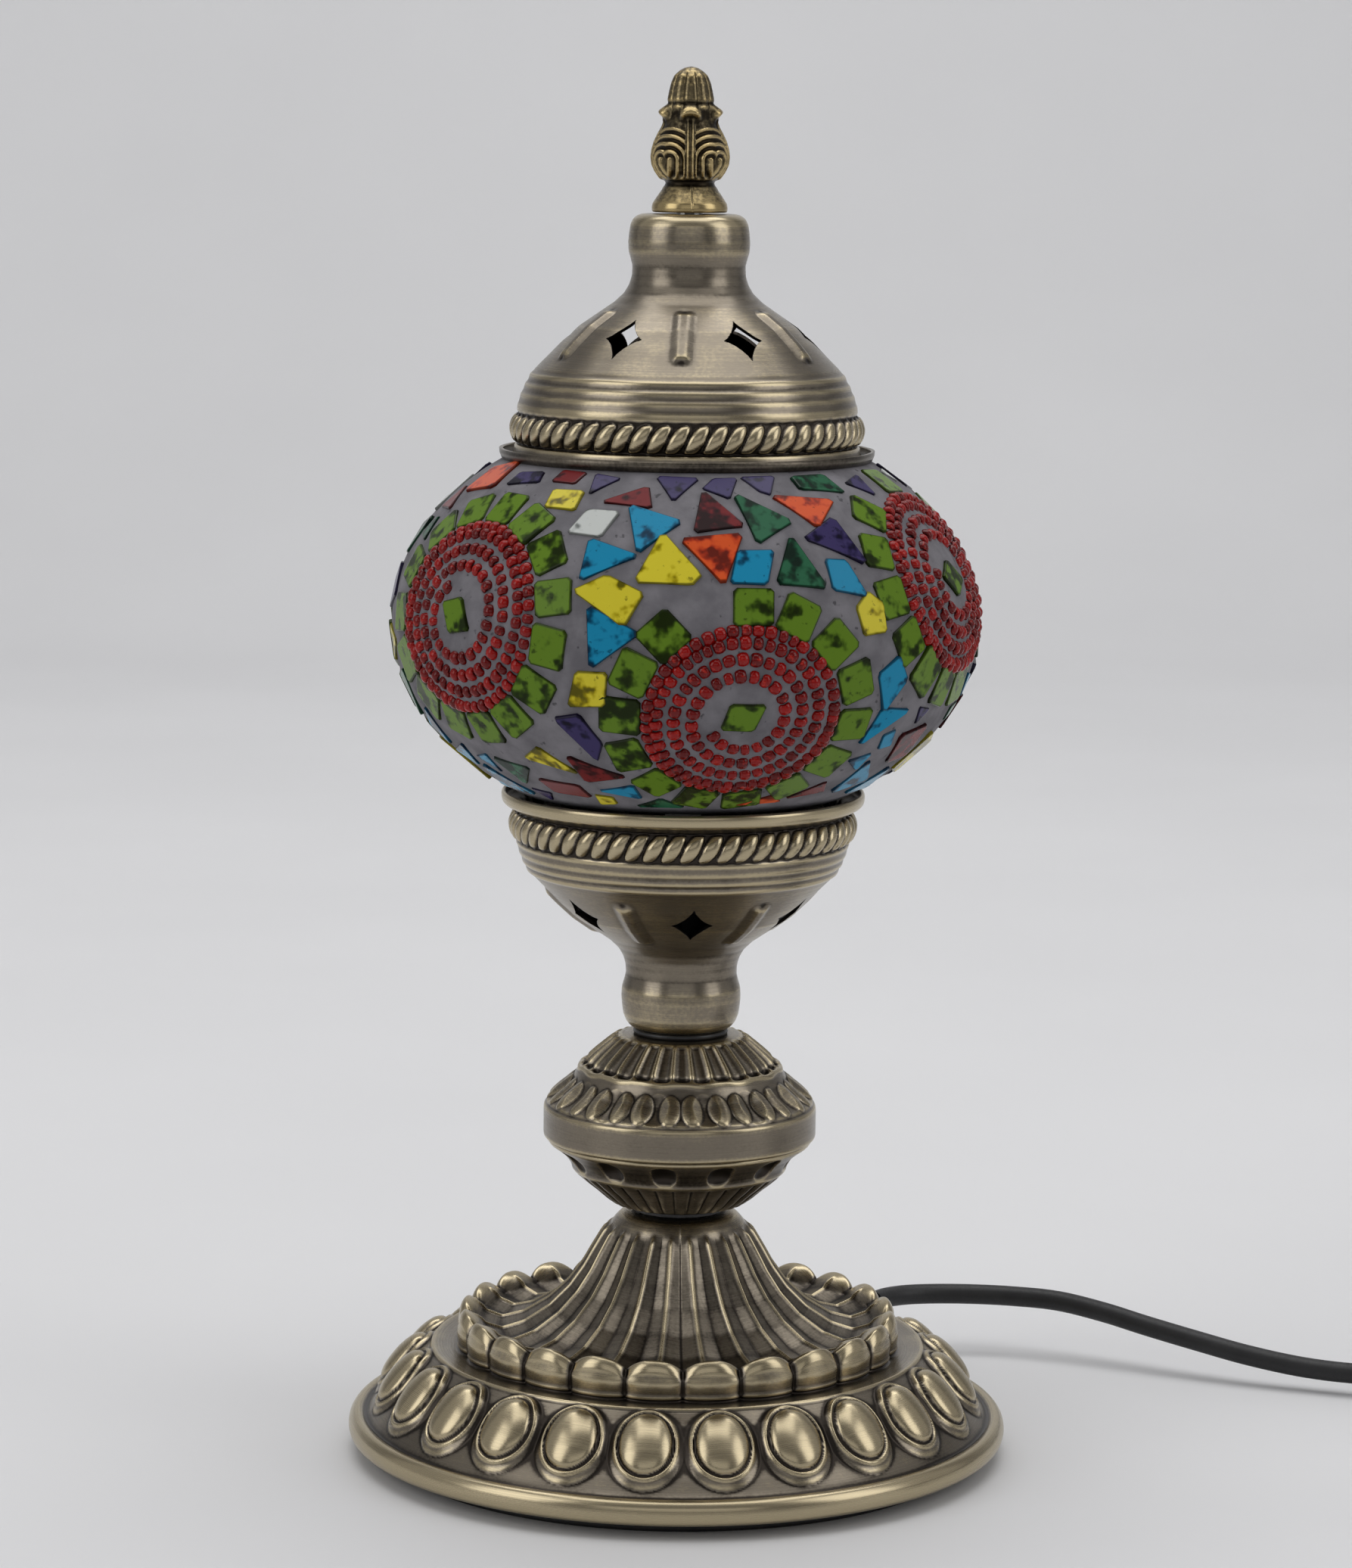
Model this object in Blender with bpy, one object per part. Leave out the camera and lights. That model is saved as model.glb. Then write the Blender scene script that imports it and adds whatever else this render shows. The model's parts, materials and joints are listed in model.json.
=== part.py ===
"""Mosaic glass table lamp: pressed brass base, knob, cup and cap, a mosaic globe, a bulb and its mains cord.

Lengths below are in millimetres and become metres when a mesh is made. Z is up, the front is -Y, and
the origin is on the table under the lamp's axis. Azimuths are degrees from +X towards +Y.
"""

import math

import bmesh
import bpy
from mathutils import Matrix, Vector

MM = 0.001
TAU = 2 * math.pi
GAP = 0.3  # between pieces that touch
SHEET = 0.8  # thickness of the pressed brass

# Driving dimensions
BASE_R = 78.0
BASE_TOP = 56.6
KNOB_R = 31.9
KNOB_SEAM = 74.2
KNOB_TOP = KNOB_SEAM + 23.4
GLOBE_MID = 193.6
GLOBE_R = 67.9  # over the beads
GLOBE_HALF = 48.0
PRESSING_H = 54.5  # cup and cap share one pressing, from lip to neck end
LIP_FROM_MID = 38.6
CUP_LIP = GLOBE_MID - LIP_FROM_MID
CAP_LIP = GLOBE_MID + LIP_FROM_MID
CUP_END = CUP_LIP - PRESSING_H
CAP_END = CAP_LIP + PRESSING_H
TOP = 319.4
ROD_R = 4.9
ROD_HOLE_R = 5.3
STUD_R = 2.9
STUD_HOLE_R = 3.3
MOUTH_R = 34.0  # both openings of the glass globe
LOBES = 24  # flutes, scallops and bosses round the base
LOBE_AZIMUTH = 9.0  # of one lobe's crest
BULB_R = 22.5
BULB_MID = 180.0
CORD_D = 5.0
EXIT_AZIMUTH = 57.0  # where the cord leaves the base
EXIT_HEIGHT = 15.0
RELIEF_TIP_R = 90.0
COIL_OUTER_R = 36.9  # centre line of the outermost turn
COIL_INNER_R = 19.05
COIL_FLOOR = 0.9  # the tie lies under the coil

# (azimuth from the front, towards +X, and height) of each bead medallion
MEDALLIONS = [(-47.6, 201.0), (11.9, 179.7), (67.7, 208.2), (128.0, 182.0), (188.0, 205.0), (248.0, 181.0)]
MEDALLION_R = 21.8
CENTRE_TILE_R = 4.9

# The cord's uncoiled route, chosen by hand
CORD_RUN = [
    (49.4, 76.1, 15.0),
    (52.6, 80.3, 14.9),
    (58.0, 84.4, 14.6),
    (65.5, 86.9, 14.3),
    (74.5, 87.3, 14.2),
    (85.0, 85.2, 14.3),
    (96.0, 81.3, 14.2),
    (107.0, 75.6, 12.9),
    (117.0, 69.9, 11.1),
    (129.0, 63.0, 9.2),
    (141.0, 57.0, 7.3),
    (154.0, 52.0, 5.8),
    (166.5, 47.7, 5.5),
    (176.0, 44.6, 6.4),
    (187.7, 40.9, 8.1),
]
INNER_CABLE = [  # from the strain relief through the base and up the rod
    (33.4, 51.4, 15.0),
    (22.0, 33.9, 15.0),
    (12.0, 18.5, 17.0),
    (4.0, 6.2, 25.0),
    (0.3, 0.5, 38.0),
    (0.0, 0.0, 50.0),
    (0.0, 0.0, 85.0),
    (0.0, 0.0, 122.0),
]
SWITCH_START = Vector((188.0, 40.8, 8.15))
SWITCH_HEADING = Vector((0.956, -0.2934, 0.0)).normalized()
SWITCH_SIZE = Vector((54.0, 24.0, 17.0))
LINK_LENGTH = 34.0  # from the switch to the coil
CLEAR_OF_COIL = 21.5  # how far from the coil a straight cord clears the solid round it
ROCKER_HALF = 9.2
ROCKER_AXIS_Z = 14.0
ROCKER_TILT = 8.0  # degrees, each side of level
PLUG_CORD_X = 236.0  # where the cord enters the plug
PLUG_Z = 7.4
PIN_R = 2.0
PIN_SPACING = 18.6
PIN_LENGTH = 19.0

BRASS = ("antique_brass", (0.36, 0.30, 0.20), 0.35, 1.0)
BRASS_GOLD = ("gold_brass", (0.45, 0.34, 0.16), 0.35, 1.0)
STEEL = ("zinc_steel", (0.62, 0.62, 0.60), 0.35, 1.0)
GLASS = ("clear_glass", (0.85, 0.88, 0.88), 0.05, 0.0)
GROUT = ("grey_grout", (0.16, 0.15, 0.17), 0.9, 0.0)
RED_BEADS = ("red_beads", (0.55, 0.01, 0.01), 0.12, 0.0)
GREEN_TILE = ("green_tile", (0.10, 0.22, 0.02), 0.12, 0.0)
BLACK_RUBBER = ("black_rubber", (0.02, 0.02, 0.02), 0.8, 0.0)
BLACK_PLASTIC = ("black_plastic", (0.02, 0.02, 0.022), 0.4, 0.0)
CERAMIC = ("white_ceramic", (0.75, 0.74, 0.70), 0.4, 0.0)
FILAMENT = ("filament", (0.85, 0.60, 0.15), 0.5, 0.0)


def material(finish):
    """The Principled material of a finish, made once."""
    name, colour, roughness, metallic = finish
    found = bpy.data.materials.get(name)
    if found:
        return found
    made = bpy.data.materials.new(name)
    made.use_nodes = True
    shader = made.node_tree.nodes["Principled BSDF"]
    shader.inputs["Base Color"].default_value = (*colour, 1.0)
    shader.inputs["Roughness"].default_value = roughness
    shader.inputs["Metallic"].default_value = metallic
    return made


def add_object(name, shape, finish, origin=(0, 0, 0)):
    """Link a bmesh in millimetres as an object whose origin is at the given point."""
    bmesh.ops.translate(shape, verts=shape.verts, vec=-Vector(origin))
    bmesh.ops.scale(shape, verts=shape.verts, vec=(MM, MM, MM))
    bmesh.ops.recalc_face_normals(shape, faces=shape.faces)
    mesh = bpy.data.meshes.new(name)
    shape.to_mesh(mesh)
    shape.free()
    mesh.shade_smooth()
    mesh.set_sharp_from_angle(angle=math.radians(35))
    mesh.materials.append(material(finish))
    made = bpy.data.objects.new(name, mesh)
    made.location = Vector(origin) * MM
    bpy.context.collection.objects.link(made)
    return made


def loft_into(shape, rings, closed=True):
    """Join each ring of points to the next one, and the last to the first. A ring of one point is a pole."""
    made = [[shape.verts.new(point) for point in ring] for ring in rings]
    following = made[1:] + made[:1] if closed else made[1:]
    for ring, other in zip(made, following):
        count = max(len(ring), len(other))
        if count == 1:
            continue
        for i in range(count):
            j = (i + 1) % count
            corners = [ring[i % len(ring)], ring[j % len(ring)], other[j % len(other)], other[i % len(other)]]
            shape.faces.new(list(dict.fromkeys(corners)))
    return made


def ring_points(radius, height, segments):
    """Points round the axis, or the one point on it when the radius is 0."""
    count = segments if radius else 1
    angles = [TAU * i / segments for i in range(count)]
    return [(radius * math.cos(a), radius * math.sin(a), height) for a in angles]


def bar(rings):
    """A bmesh of the rings joined end to end, with its two ends filled."""
    shape = bmesh.new()
    made = loft_into(shape, rings, closed=False)
    shape.faces.new(made[0])
    shape.faces.new(made[-1])
    return shape


def turned_into(shape, outline, segments=24):
    loft_into(shape, [ring_points(r, z, segments) for r, z in outline])


def turned(name, outline, finish, segments=24):
    """A closed outline of (radius, height) points turned about Z."""
    shape = bmesh.new()
    turned_into(shape, outline, segments)
    return add_object(name, shape, finish)


def washer(name, inner_r, outer_r, low, high, finish, segments=16):
    return turned(name, [(inner_r, high), (outer_r, high), (outer_r, low), (inner_r, low)], finish, segments)


def nut(name, bore_r, across_flats, low, high, finish):
    """A hexagon nut with a bore, 12 points round."""
    segments = 12
    rings = []
    for radius, height, is_hexagon in [
        (bore_r, high, False),
        (across_flats / 2, high, True),
        (across_flats / 2, low, True),
        (bore_r, low, False),
    ]:
        ring = []
        for i in range(segments):
            angle = TAU * i / segments
            off_flat = (angle + TAU / 12) % (TAU / 6) - TAU / 12
            r = radius / math.cos(off_flat) if is_hexagon else radius
            ring.append((r * math.cos(angle), r * math.sin(angle), height))
        rings.append(ring)
    shape = bmesh.new()
    loft_into(shape, rings)
    return add_object(name, shape, finish)


def inner_side(outline, thickness=SHEET):
    """The outline moved inwards by the sheet's thickness, run back from its end to its start."""
    moved = []
    for i, (radius, height, *swing) in enumerate(outline):
        before = outline[max(i - 1, 0)]
        after = outline[min(i + 1, len(outline) - 1)]
        along = Vector((after[0] - before[0], after[1] - before[1])).normalized()
        if i == 0:
            along = Vector((1, 0))
        moved.append((radius + along.y * thickness, height - along.x * thickness, *swing))
    return moved[::-1]


# ---------------------------------------------------------------- base

BASE_OUTLINE = [  # radius, height and, on a lobed stretch, how far the lobes swing both
    (ROD_HOLE_R, BASE_TOP),
    (12.2, BASE_TOP),
    (15.0, 54.8, 0.2, 0.0),
    (17.7, 50.6, 0.5, 0.1),
    (21.9, 43.4, 0.8, 0.3),
    (25.4, 38.4, 0.8, 0.6),
    (30.2, 33.4, 0.6, 0.9),
    (36.0, 29.8, 0.3, 1.1),
    (41.5, 28.6, 0.0, 1.2),
    (48.6, 31.8, 0.3, 1.2),
    (50.6, 30.4, 0.8, 0.6),
    (50.6, 24.9, 0.5, 0.0),
    (58.0, 24.4),
    (61.0, 22.6, 0.5, 0.6),
    (65.7, 18.0, 1.0, 1.0),
    (70.4, 12.9, 0.6, 0.6),
    (73.0, 10.4),
    (74.8, 11.0),
    (77.0, 9.0),
    (BASE_R, 5.8),
    (75.6, 2.7),
    (67.0, 2.7),
]


def lobed_rings(outline, segments):
    rings = []
    for radius, height, *swing in outline:
        radius_swing, height_swing = swing or (0.0, 0.0)
        ring = []
        for i in range(segments):
            angle = TAU * i / segments
            wave = math.cos(LOBES * angle)
            r = radius + radius_swing * wave
            azimuth = angle + math.radians(LOBE_AZIMUTH)
            ring.append((r * math.cos(azimuth), r * math.sin(azimuth), height + height_swing * wave))
        rings.append(ring)
    return rings


def exit_direction():
    azimuth = math.radians(EXIT_AZIMUTH)
    return Vector((math.cos(azimuth), math.sin(azimuth), 0.0))


def along_exit(shape):
    """Lay a shape that was turned about Z along the cord's exit, its foot on the lamp's axis."""
    turn = Vector((0, 0, 1)).rotation_difference(exit_direction()).to_matrix().to_4x4()
    bmesh.ops.transform(shape, matrix=Matrix.Translation((0, 0, EXIT_HEIGHT)) @ turn, verts=shape.verts)


def cutter(name, shape):
    made = add_object(name, shape, BLACK_PLASTIC)
    made.hide_render = True
    made.display_type = "WIRE"
    return made


def cut(target, tool):
    boolean = target.modifiers.new(tool.name, "BOOLEAN")
    boolean.operation = "DIFFERENCE"
    boolean.solver = "EXACT"
    boolean.object = tool


def make_base():
    shape = bmesh.new()
    loft_into(shape, lobed_rings(BASE_OUTLINE + inner_side(BASE_OUTLINE), 2 * LOBES))
    base = add_object("base_shell", shape, BRASS)
    hole = bmesh.new()
    turned_into(hole, [(0, 85.0), (4.1, 85.0), (4.1, 55.0), (0, 55.0)], 12)
    along_exit(hole)
    cut(base, cutter("cord_hole_cutter", hole))

    washer("base_pad", 58.0, 68.6, 0.0, 2.7 - GAP, BLACK_RUBBER, 48)
    under_plate = BASE_TOP - SHEET - GAP
    washer("base_washer", ROD_HOLE_R, 10.5, under_plate - 1.2, under_plate, STEEL)
    nut("base_nut", ROD_HOLE_R, 14.0, under_plate - 5.5, under_plate - 1.5, STEEL)

    relief = bmesh.new()
    turned_into(relief, [(0, RELIEF_TIP_R), (2.9, RELIEF_TIP_R), (3.7, 76.0), (3.7, 62.0), (0, 62.0)], 12)
    along_exit(relief)
    add_object("cord_strain_relief", relief, BLACK_RUBBER)


# ---------------------------------------------------------------- knob, cup and rod

KNOB_UPPER = [  # radius, height above the seam
    (ROD_HOLE_R, KNOB_TOP - KNOB_SEAM),
    (14.4, 23.4),
    (18.8, 21.3),
    (22.8, 17.8),
    (25.5, 14.2),
    (29.0, 10.7),
    (31.2, 8.7),
    (KNOB_R, 7.4),
    (KNOB_R, 0.0),
]
KNOB_LOWER = [  # radius, depth below the seam
    (ROD_HOLE_R, 16.0),
    (12.6, 16.0),
    (16.8, 14.3),
    (20.8, 10.6),
    (23.4, 8.9),
    (25.9, 5.3),
    (29.4, 1.8),
    (31.0, 0.0),
]
PRESSING = [  # radius, height above the lip
    (ROD_HOLE_R, PRESSING_H),
    (11.4, PRESSING_H),
    (13.8, 50.0),
    (12.8, 42.4),
    (14.2, 38.0),
    (16.9, 34.8),
    (22.1, 31.4),
    (28.1, 26.3),
    (32.6, 21.2),
    (35.6, 17.8),
    (38.3, 10.6),
    (40.2, 9.2),
    (40.2, 6.2),
    (39.3, 4.2),
    (39.4, 1.0),
    (40.4, -0.2),
    (41.7, 0.9),
    (41.7, 1.8),
]


def placed(outline, start, upward):
    """An outline of heights above or depths below a start, as real heights."""
    return [(radius, start + upward * height) for radius, height in outline]


def closed_sheet(outline, start, upward):
    return placed(outline + inner_side(outline), start, upward)


def vent_cutter(name, start, upward, first_azimuth):
    """Six four-pointed star holes through the shoulder of a pressing, as one cutter."""
    radius, height, reach = 26.0, 28.2, 6.0
    tall, wide, waist = 4.4, 3.7, 2.3
    slope = math.radians(42) * upward
    shape = bmesh.new()
    for k in range(6):
        azimuth = math.radians(first_azimuth + 60 * k)
        level = Vector((math.cos(azimuth), math.sin(azimuth), 0.0))
        outward = level * math.cos(slope) + Vector((0.0, 0.0, math.sin(slope)))
        across = Vector((-math.sin(azimuth), math.cos(azimuth), 0.0))
        up = outward.cross(across)
        middle = Vector((radius * math.cos(azimuth), radius * math.sin(azimuth), start + upward * height))
        star = []
        for i in range(8):
            angle = TAU * i / 8
            if i % 2:
                size = (waist, waist)
            else:
                size = (wide, tall)
            star.append(across * math.cos(angle) * size[0] + up * math.sin(angle) * size[1])
        near = [shape.verts.new(middle + point - outward * reach) for point in star]
        far = [shape.verts.new(middle + point + outward * reach) for point in star]
        shape.faces.new(near)
        shape.faces.new(far)
        for i in range(8):
            shape.faces.new([near[i], near[i - 1], far[i - 1], far[i]])
    return cutter(name, shape)


def spring_clips(name, start, upward, first_azimuth):
    """Three bent strips that hold a pressing in the glass's mouth."""
    width, thick = 8.0, 0.5
    bends = [(36.0, 11.0), (36.0, 6.5), (33.0, 2.6), (33.0, -6.0)]
    for number in (1, 2, 3):
        azimuth = math.radians(first_azimuth + 120 * number)
        outward = Vector((math.cos(azimuth), math.sin(azimuth), 0.0))
        across = Vector((-math.sin(azimuth), math.cos(azimuth), 0.0)) * width / 2
        rings = []
        for radius, height in bends:
            outer = outward * radius + Vector((0, 0, start + upward * height))
            inner = outer - outward * thick
            rings.append([outer + across, outer - across, inner - across, inner + across])
        add_object(f"{name}_{number}", bar(rings), STEEL)


def make_stem():
    washer("base_spacer", ROD_HOLE_R, 11.0, BASE_TOP + GAP, KNOB_SEAM - 16.6, BLACK_PLASTIC)
    turned("knob_lower_shell", closed_sheet(KNOB_LOWER, KNOB_SEAM - GAP, -1), BRASS)
    turned("knob_upper_shell", closed_sheet(KNOB_UPPER, KNOB_SEAM, 1), BRASS)
    washer("cup_spacer", ROD_HOLE_R, 11.4, KNOB_TOP + GAP, CUP_END - GAP, BLACK_PLASTIC)
    cup = turned("lower_cup", closed_sheet(PRESSING, CUP_LIP, -1), BRASS)
    cut(cup, vent_cutter("cup_vent_cutter", CUP_LIP, -1, -85.0))
    plate_top = CUP_END + SHEET + GAP
    washer("cup_washer", ROD_HOLE_R, 10.4, plate_top, plate_top + 1.2, STEEL)
    nut("cup_nut", ROD_HOLE_R, 14.0, plate_top + 1.5, plate_top + 5.5, STEEL)
    washer("threaded_rod", 3.4, ROD_R, 44.0, 121.5, STEEL)
    spring_clips("cup_clip", CUP_LIP, -1, -90.0)


# ---------------------------------------------------------------- lampholder and bulb


def make_lampholder():
    turned(
        "socket_base",
        [
            (ROD_HOLE_R, 120.5),
            (11.8, 122.5),
            (11.8, 128.0),
            (13.4, 128.0),
            (13.4, 121.5),
            (10.8, 117.5),
            (10.8, 113.0),
            (ROD_HOLE_R, 113.0),
        ],
        BLACK_PLASTIC,
        16,
    )
    turned("socket_insulator", [(0, 128.0), (11.4, 128.0), (11.4, 124.0), (0, 124.0)], CERAMIC, 16)
    turned("socket_contact", [(0, 130.2), (2.4, 130.2), (2.4, 128.3), (0, 128.3)], BRASS_GOLD, 12)
    washer("socket_screw_shell", 7.25, 7.75, 128.3, 148.0, BRASS_GOLD)
    turned(
        "socket_skirt",
        [(8.3, 152.0), (13.4, 152.0), (13.4, 128.3), (11.8, 128.3), (11.8, 150.6), (8.3, 150.6)],
        BLACK_PLASTIC,
        16,
    )


def make_bulb():
    neck_r, wall = 6.3, 0.7
    steps = 8
    first = math.asin(9.0 / BULB_R)
    ball = [first + (math.pi - first) * i / steps for i in range(steps + 1)]
    sides = []
    for radius in (BULB_R, BULB_R - wall):
        arc = [(radius * math.sin(a), BULB_MID - radius * math.cos(a)) for a in ball[:-1]]
        sides.append(arc + [(0, BULB_MID + radius)])
    outer, inner = sides
    neck = [(neck_r, 146.0), (neck_r, 153.4)]
    inside = [(neck_r - wall, 153.4), (neck_r - wall, 146.0)]
    turned("bulb_glass", outer[::-1] + neck[::-1] + inside[::-1] + inner, GLASS, 16)
    turned(
        "bulb_cap",
        [
            (6.6, 152.6),
            (6.95, 152.6),
            (6.95, 134.6),
            (4.0, 132.4),
            (2.9, 132.4),
            (2.9, 133.0),
            (3.8, 133.0),
            (6.6, 135.2),
        ],
        STEEL,
        16,
    )
    turned("bulb_contact", [(0, 133.6), (2.5, 133.6), (2.5, 131.2), (1.6, 130.6), (0, 130.6)], STEEL, 12)
    turned("bulb_stem", [(0, 172.0), (1.4, 172.0), (2.6, 158.0), (4.6, 147.0), (0, 147.0)], GLASS, 12)
    cage = []
    for k in range(8):
        azimuth = TAU * k / 8
        height = 190.0 if k % 4 in (1, 2) else 175.0
        cage.append((6.0 * math.cos(azimuth), 6.0 * math.sin(azimuth), height))
    tube("bulb_filament", cage, FILAMENT, 8.0, 1.2)


# ---------------------------------------------------------------- globe


def egg_outline(radius, half_height, mouth_r, steps):
    """The globe's curve from its lower mouth round to its upper one."""
    edge = math.acos(mouth_r / radius)
    angles = [-edge + 2 * edge * i / steps for i in range(steps + 1)]
    return [(radius * math.cos(a), GLOBE_MID + half_height * math.sin(a)) for a in angles]


def egg_shell(name, outer_size, inner_size, mouth_r, finish):
    outer = egg_outline(*outer_size, mouth_r, 8)
    inner = egg_outline(*inner_size, mouth_r, 8)
    return turned(name, outer[::-1] + inner, finish)


def on_globe(point, depth):
    """The point moved towards the globe's middle until it lies the given depth under the bead surface."""
    middle = Vector((0, 0, GLOBE_MID))
    away = point - middle
    radius, half_height = GLOBE_R - depth, GLOBE_HALF - depth
    reach = math.sqrt((away.x**2 + away.y**2) / radius**2 + away.z**2 / half_height**2)
    return middle + away / reach


def medallion_axes(azimuth_from_front, height):
    """The medallion's middle on the bead surface, and its two directions across and up the surface."""
    azimuth = math.radians(azimuth_from_front - 90)
    rise = (height - GLOBE_MID) / GLOBE_HALF
    radius = GLOBE_R * math.sqrt(1 - rise**2)
    middle = Vector((radius * math.cos(azimuth), radius * math.sin(azimuth), height))
    slope = (height - GLOBE_MID) / GLOBE_HALF**2
    normal = Vector((middle.x / GLOBE_R**2, middle.y / GLOBE_R**2, slope)).normalized()
    across = Vector((-math.sin(azimuth), math.cos(azimuth), 0.0))
    return middle, across, normal.cross(across)


def patch_ring(axes, size, count, depth):
    middle, across, up = axes
    points = []
    for i in range(count):
        angle = TAU * i / count
        points.append(on_globe(middle + (across * math.cos(angle) + up * math.sin(angle)) * size, depth))
    return points


def make_globe():
    egg_shell("globe_glass", (64.6, 44.7), (62.4, 42.5), MOUTH_R, GLASS)
    egg_shell("mosaic_grout", (66.6, 46.7), (64.9, 45.0), 37.5, GROUT)
    plate_bottom = 0.95  # depth of the plates' undersides below the bead surface
    for number, (azimuth, height) in enumerate(MEDALLIONS, start=1):
        axes = medallion_axes(azimuth, height)
        sizes = [CENTRE_TILE_R + 0.9, 13.0, MEDALLION_R]
        shape = bmesh.new()
        top = [patch_ring(axes, size, 16, 0.0) for size in sizes]
        bottom = [patch_ring(axes, size, 16, plate_bottom) for size in sizes]
        loft_into(shape, top + bottom[::-1])
        add_object(f"bead_spiral_{number}", shape, RED_BEADS)
        shape = bmesh.new()
        middle_top = [on_globe(axes[0], 0.0)]
        middle_bottom = [on_globe(axes[0], plate_bottom)]
        square = [patch_ring(axes, CENTRE_TILE_R, 4, depth) for depth in (0.0, plate_bottom)]
        loft_into(shape, [middle_top, square[0], square[1], middle_bottom])
        add_object(f"centre_tile_{number}", shape, GREEN_TILE)


# ---------------------------------------------------------------- cap and finial

FINIAL = [
    (0, TOP),
    (2.1, 319.0),
    (3.8, 317.3),
    (5.0, 313.9),
    (5.8, 310.9),
    (7.4, 309.0),
    (6.8, 306.6),
    (7.4, 303.8),
    (8.4, 300.6),
    (8.3, 297.4),
    (5.9, 293.8),
    (8.4, 289.2),
    (8.4, 287.6),
    (8.0, CAP_END + GAP),
    (6.9, CAP_END + GAP),
    (6.9, CAP_END + GAP + 1.2),
    (STUD_HOLE_R, CAP_END + GAP + 1.2),
    (STUD_HOLE_R, 298.0),
    (0, 298.0),
]


def make_cap():
    outline = [(STUD_HOLE_R, PRESSING_H)] + PRESSING[1:]
    cap = turned("top_cap", closed_sheet(outline, CAP_LIP, 1), BRASS)
    cut(cap, vent_cutter("cap_vent_cutter", CAP_LIP, 1, -62.8))
    spring_clips("cap_clip", CAP_LIP, 1, -90.0)
    turned("cap_stud", [(0, 297.0), (STUD_R, 297.0), (STUD_R, 276.0), (0, 276.0)], STEEL, 16)
    under_plate = CAP_END - SHEET - GAP
    nut("cap_nut", STUD_HOLE_R, 10.0, under_plate - 4.0, under_plate, STEEL)
    washer("finial_washer", STUD_HOLE_R, 6.5, CAP_END + GAP, CAP_END + GAP + 0.9, STEEL)
    turned("finial", FINIAL, BRASS_GOLD, 16)


# ---------------------------------------------------------------- cord, switch and plug


def smooth_route(points, spacing):
    """Points about a spacing apart on the Catmull-Rom curve through a route's own points."""
    route = [Vector(point) for point in points]
    route = [2 * route[0] - route[1]] + route + [2 * route[-1] - route[-2]]
    found = []
    for a, b, c, d in zip(route, route[1:], route[2:], route[3:]):
        steps = max(1, round((c - b).length / spacing))
        for i in range(steps):
            t = i / steps
            bend = (2 * a - 5 * b + 4 * c - d) * t**2
            found.append(0.5 * (2 * b + (c - a) * t + bend + (3 * b - a - 3 * c + d) * t**3))
    return found + [route[-2]]


def tube(name, points, finish, spacing=2.4 * CORD_D, diameter=CORD_D):
    """A round cable through the points, as a bevelled curve with filled ends."""
    route = smooth_route(points, spacing)
    curve = bpy.data.curves.new(name, "CURVE")
    curve.dimensions = "3D"
    spline = curve.splines.new("POLY")
    spline.points.add(len(route) - 1)
    for control, point in zip(spline.points, route):
        control.co = (*(point * MM), 1.0)
    curve.bevel_depth = diameter / 2 * MM
    curve.bevel_resolution = 2
    curve.use_fill_caps = True
    curve.materials.append(material(finish))
    made = bpy.data.objects.new(name, curve)
    bpy.context.collection.objects.link(made)
    return made


def rounded_block(name, size, middle, heading, finish, bevel=1.5):
    """A box with bevelled edges, its length along the heading."""
    turn = Matrix.Rotation(math.atan2(heading.y, heading.x), 4, "Z")
    shape = bmesh.new()
    bmesh.ops.create_cube(shape, size=1.0)
    bmesh.ops.scale(shape, verts=shape.verts, vec=size)
    bmesh.ops.transform(shape, matrix=Matrix.Translation(middle) @ turn, verts=shape.verts)
    made = add_object(name, shape, finish)
    if bevel:
        modifier = made.modifiers.new("edges", "BEVEL")
        modifier.width = bevel * MM
        modifier.segments = 1
    return made


def switch_middle():
    return SWITCH_START + SWITCH_HEADING * SWITCH_SIZE.x / 2


def make_switch():
    split = 8.0
    middle = switch_middle()
    size = SWITCH_SIZE
    low, upper_low = 0.1, split + GAP
    lower_mid = Vector((middle.x, middle.y, (low + split) / 2))
    rounded_block("switch_lower", (size.x, size.y, split - low), lower_mid, SWITCH_HEADING, BLACK_PLASTIC)
    upper_mid = Vector((middle.x, middle.y, (upper_low + size.z) / 2))
    upper_size = (size.x, size.y, size.z - upper_low)
    upper = rounded_block("switch_upper", upper_size, upper_mid, SWITCH_HEADING, BLACK_PLASTIC)
    window = bmesh.new()
    bmesh.ops.create_cube(window, size=1.0)
    bmesh.ops.scale(window, verts=window.verts, vec=(2 * ROCKER_HALF + 2.6, 11.4, 40.0))
    heading = math.atan2(SWITCH_HEADING.y, SWITCH_HEADING.x)
    bmesh.ops.rotate(window, verts=window.verts, matrix=Matrix.Rotation(heading, 3, "Z"))
    bmesh.ops.translate(window, verts=window.verts, vec=Vector((middle.x, middle.y, 10.0)))
    cut(upper, cutter("rocker_window_cutter", window))

    pivot = Vector((middle.x, middle.y, ROCKER_AXIS_Z))
    across = Vector((-SWITCH_HEADING.y, SWITCH_HEADING.x, 0.0)) * 5.2
    profile = [(-ROCKER_HALF, 3.6), (0.0, 2.4), (ROCKER_HALF, 3.6)]
    profile += [(ROCKER_HALF, -0.6), (0.0, -1.6), (-ROCKER_HALF, -0.6)]
    tilt = Matrix.Rotation(math.radians(-ROCKER_TILT), 2)
    rings = []
    for side in (across, -across):
        ring = []
        for along, height in profile:
            x, z = tilt @ Vector((along, height))
            ring.append(pivot + SWITCH_HEADING * x + Vector((0, 0, z)) + side)
        rings.append(ring)
    add_object("switch_rocker", bar(rings), BLACK_PLASTIC, origin=pivot)


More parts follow.
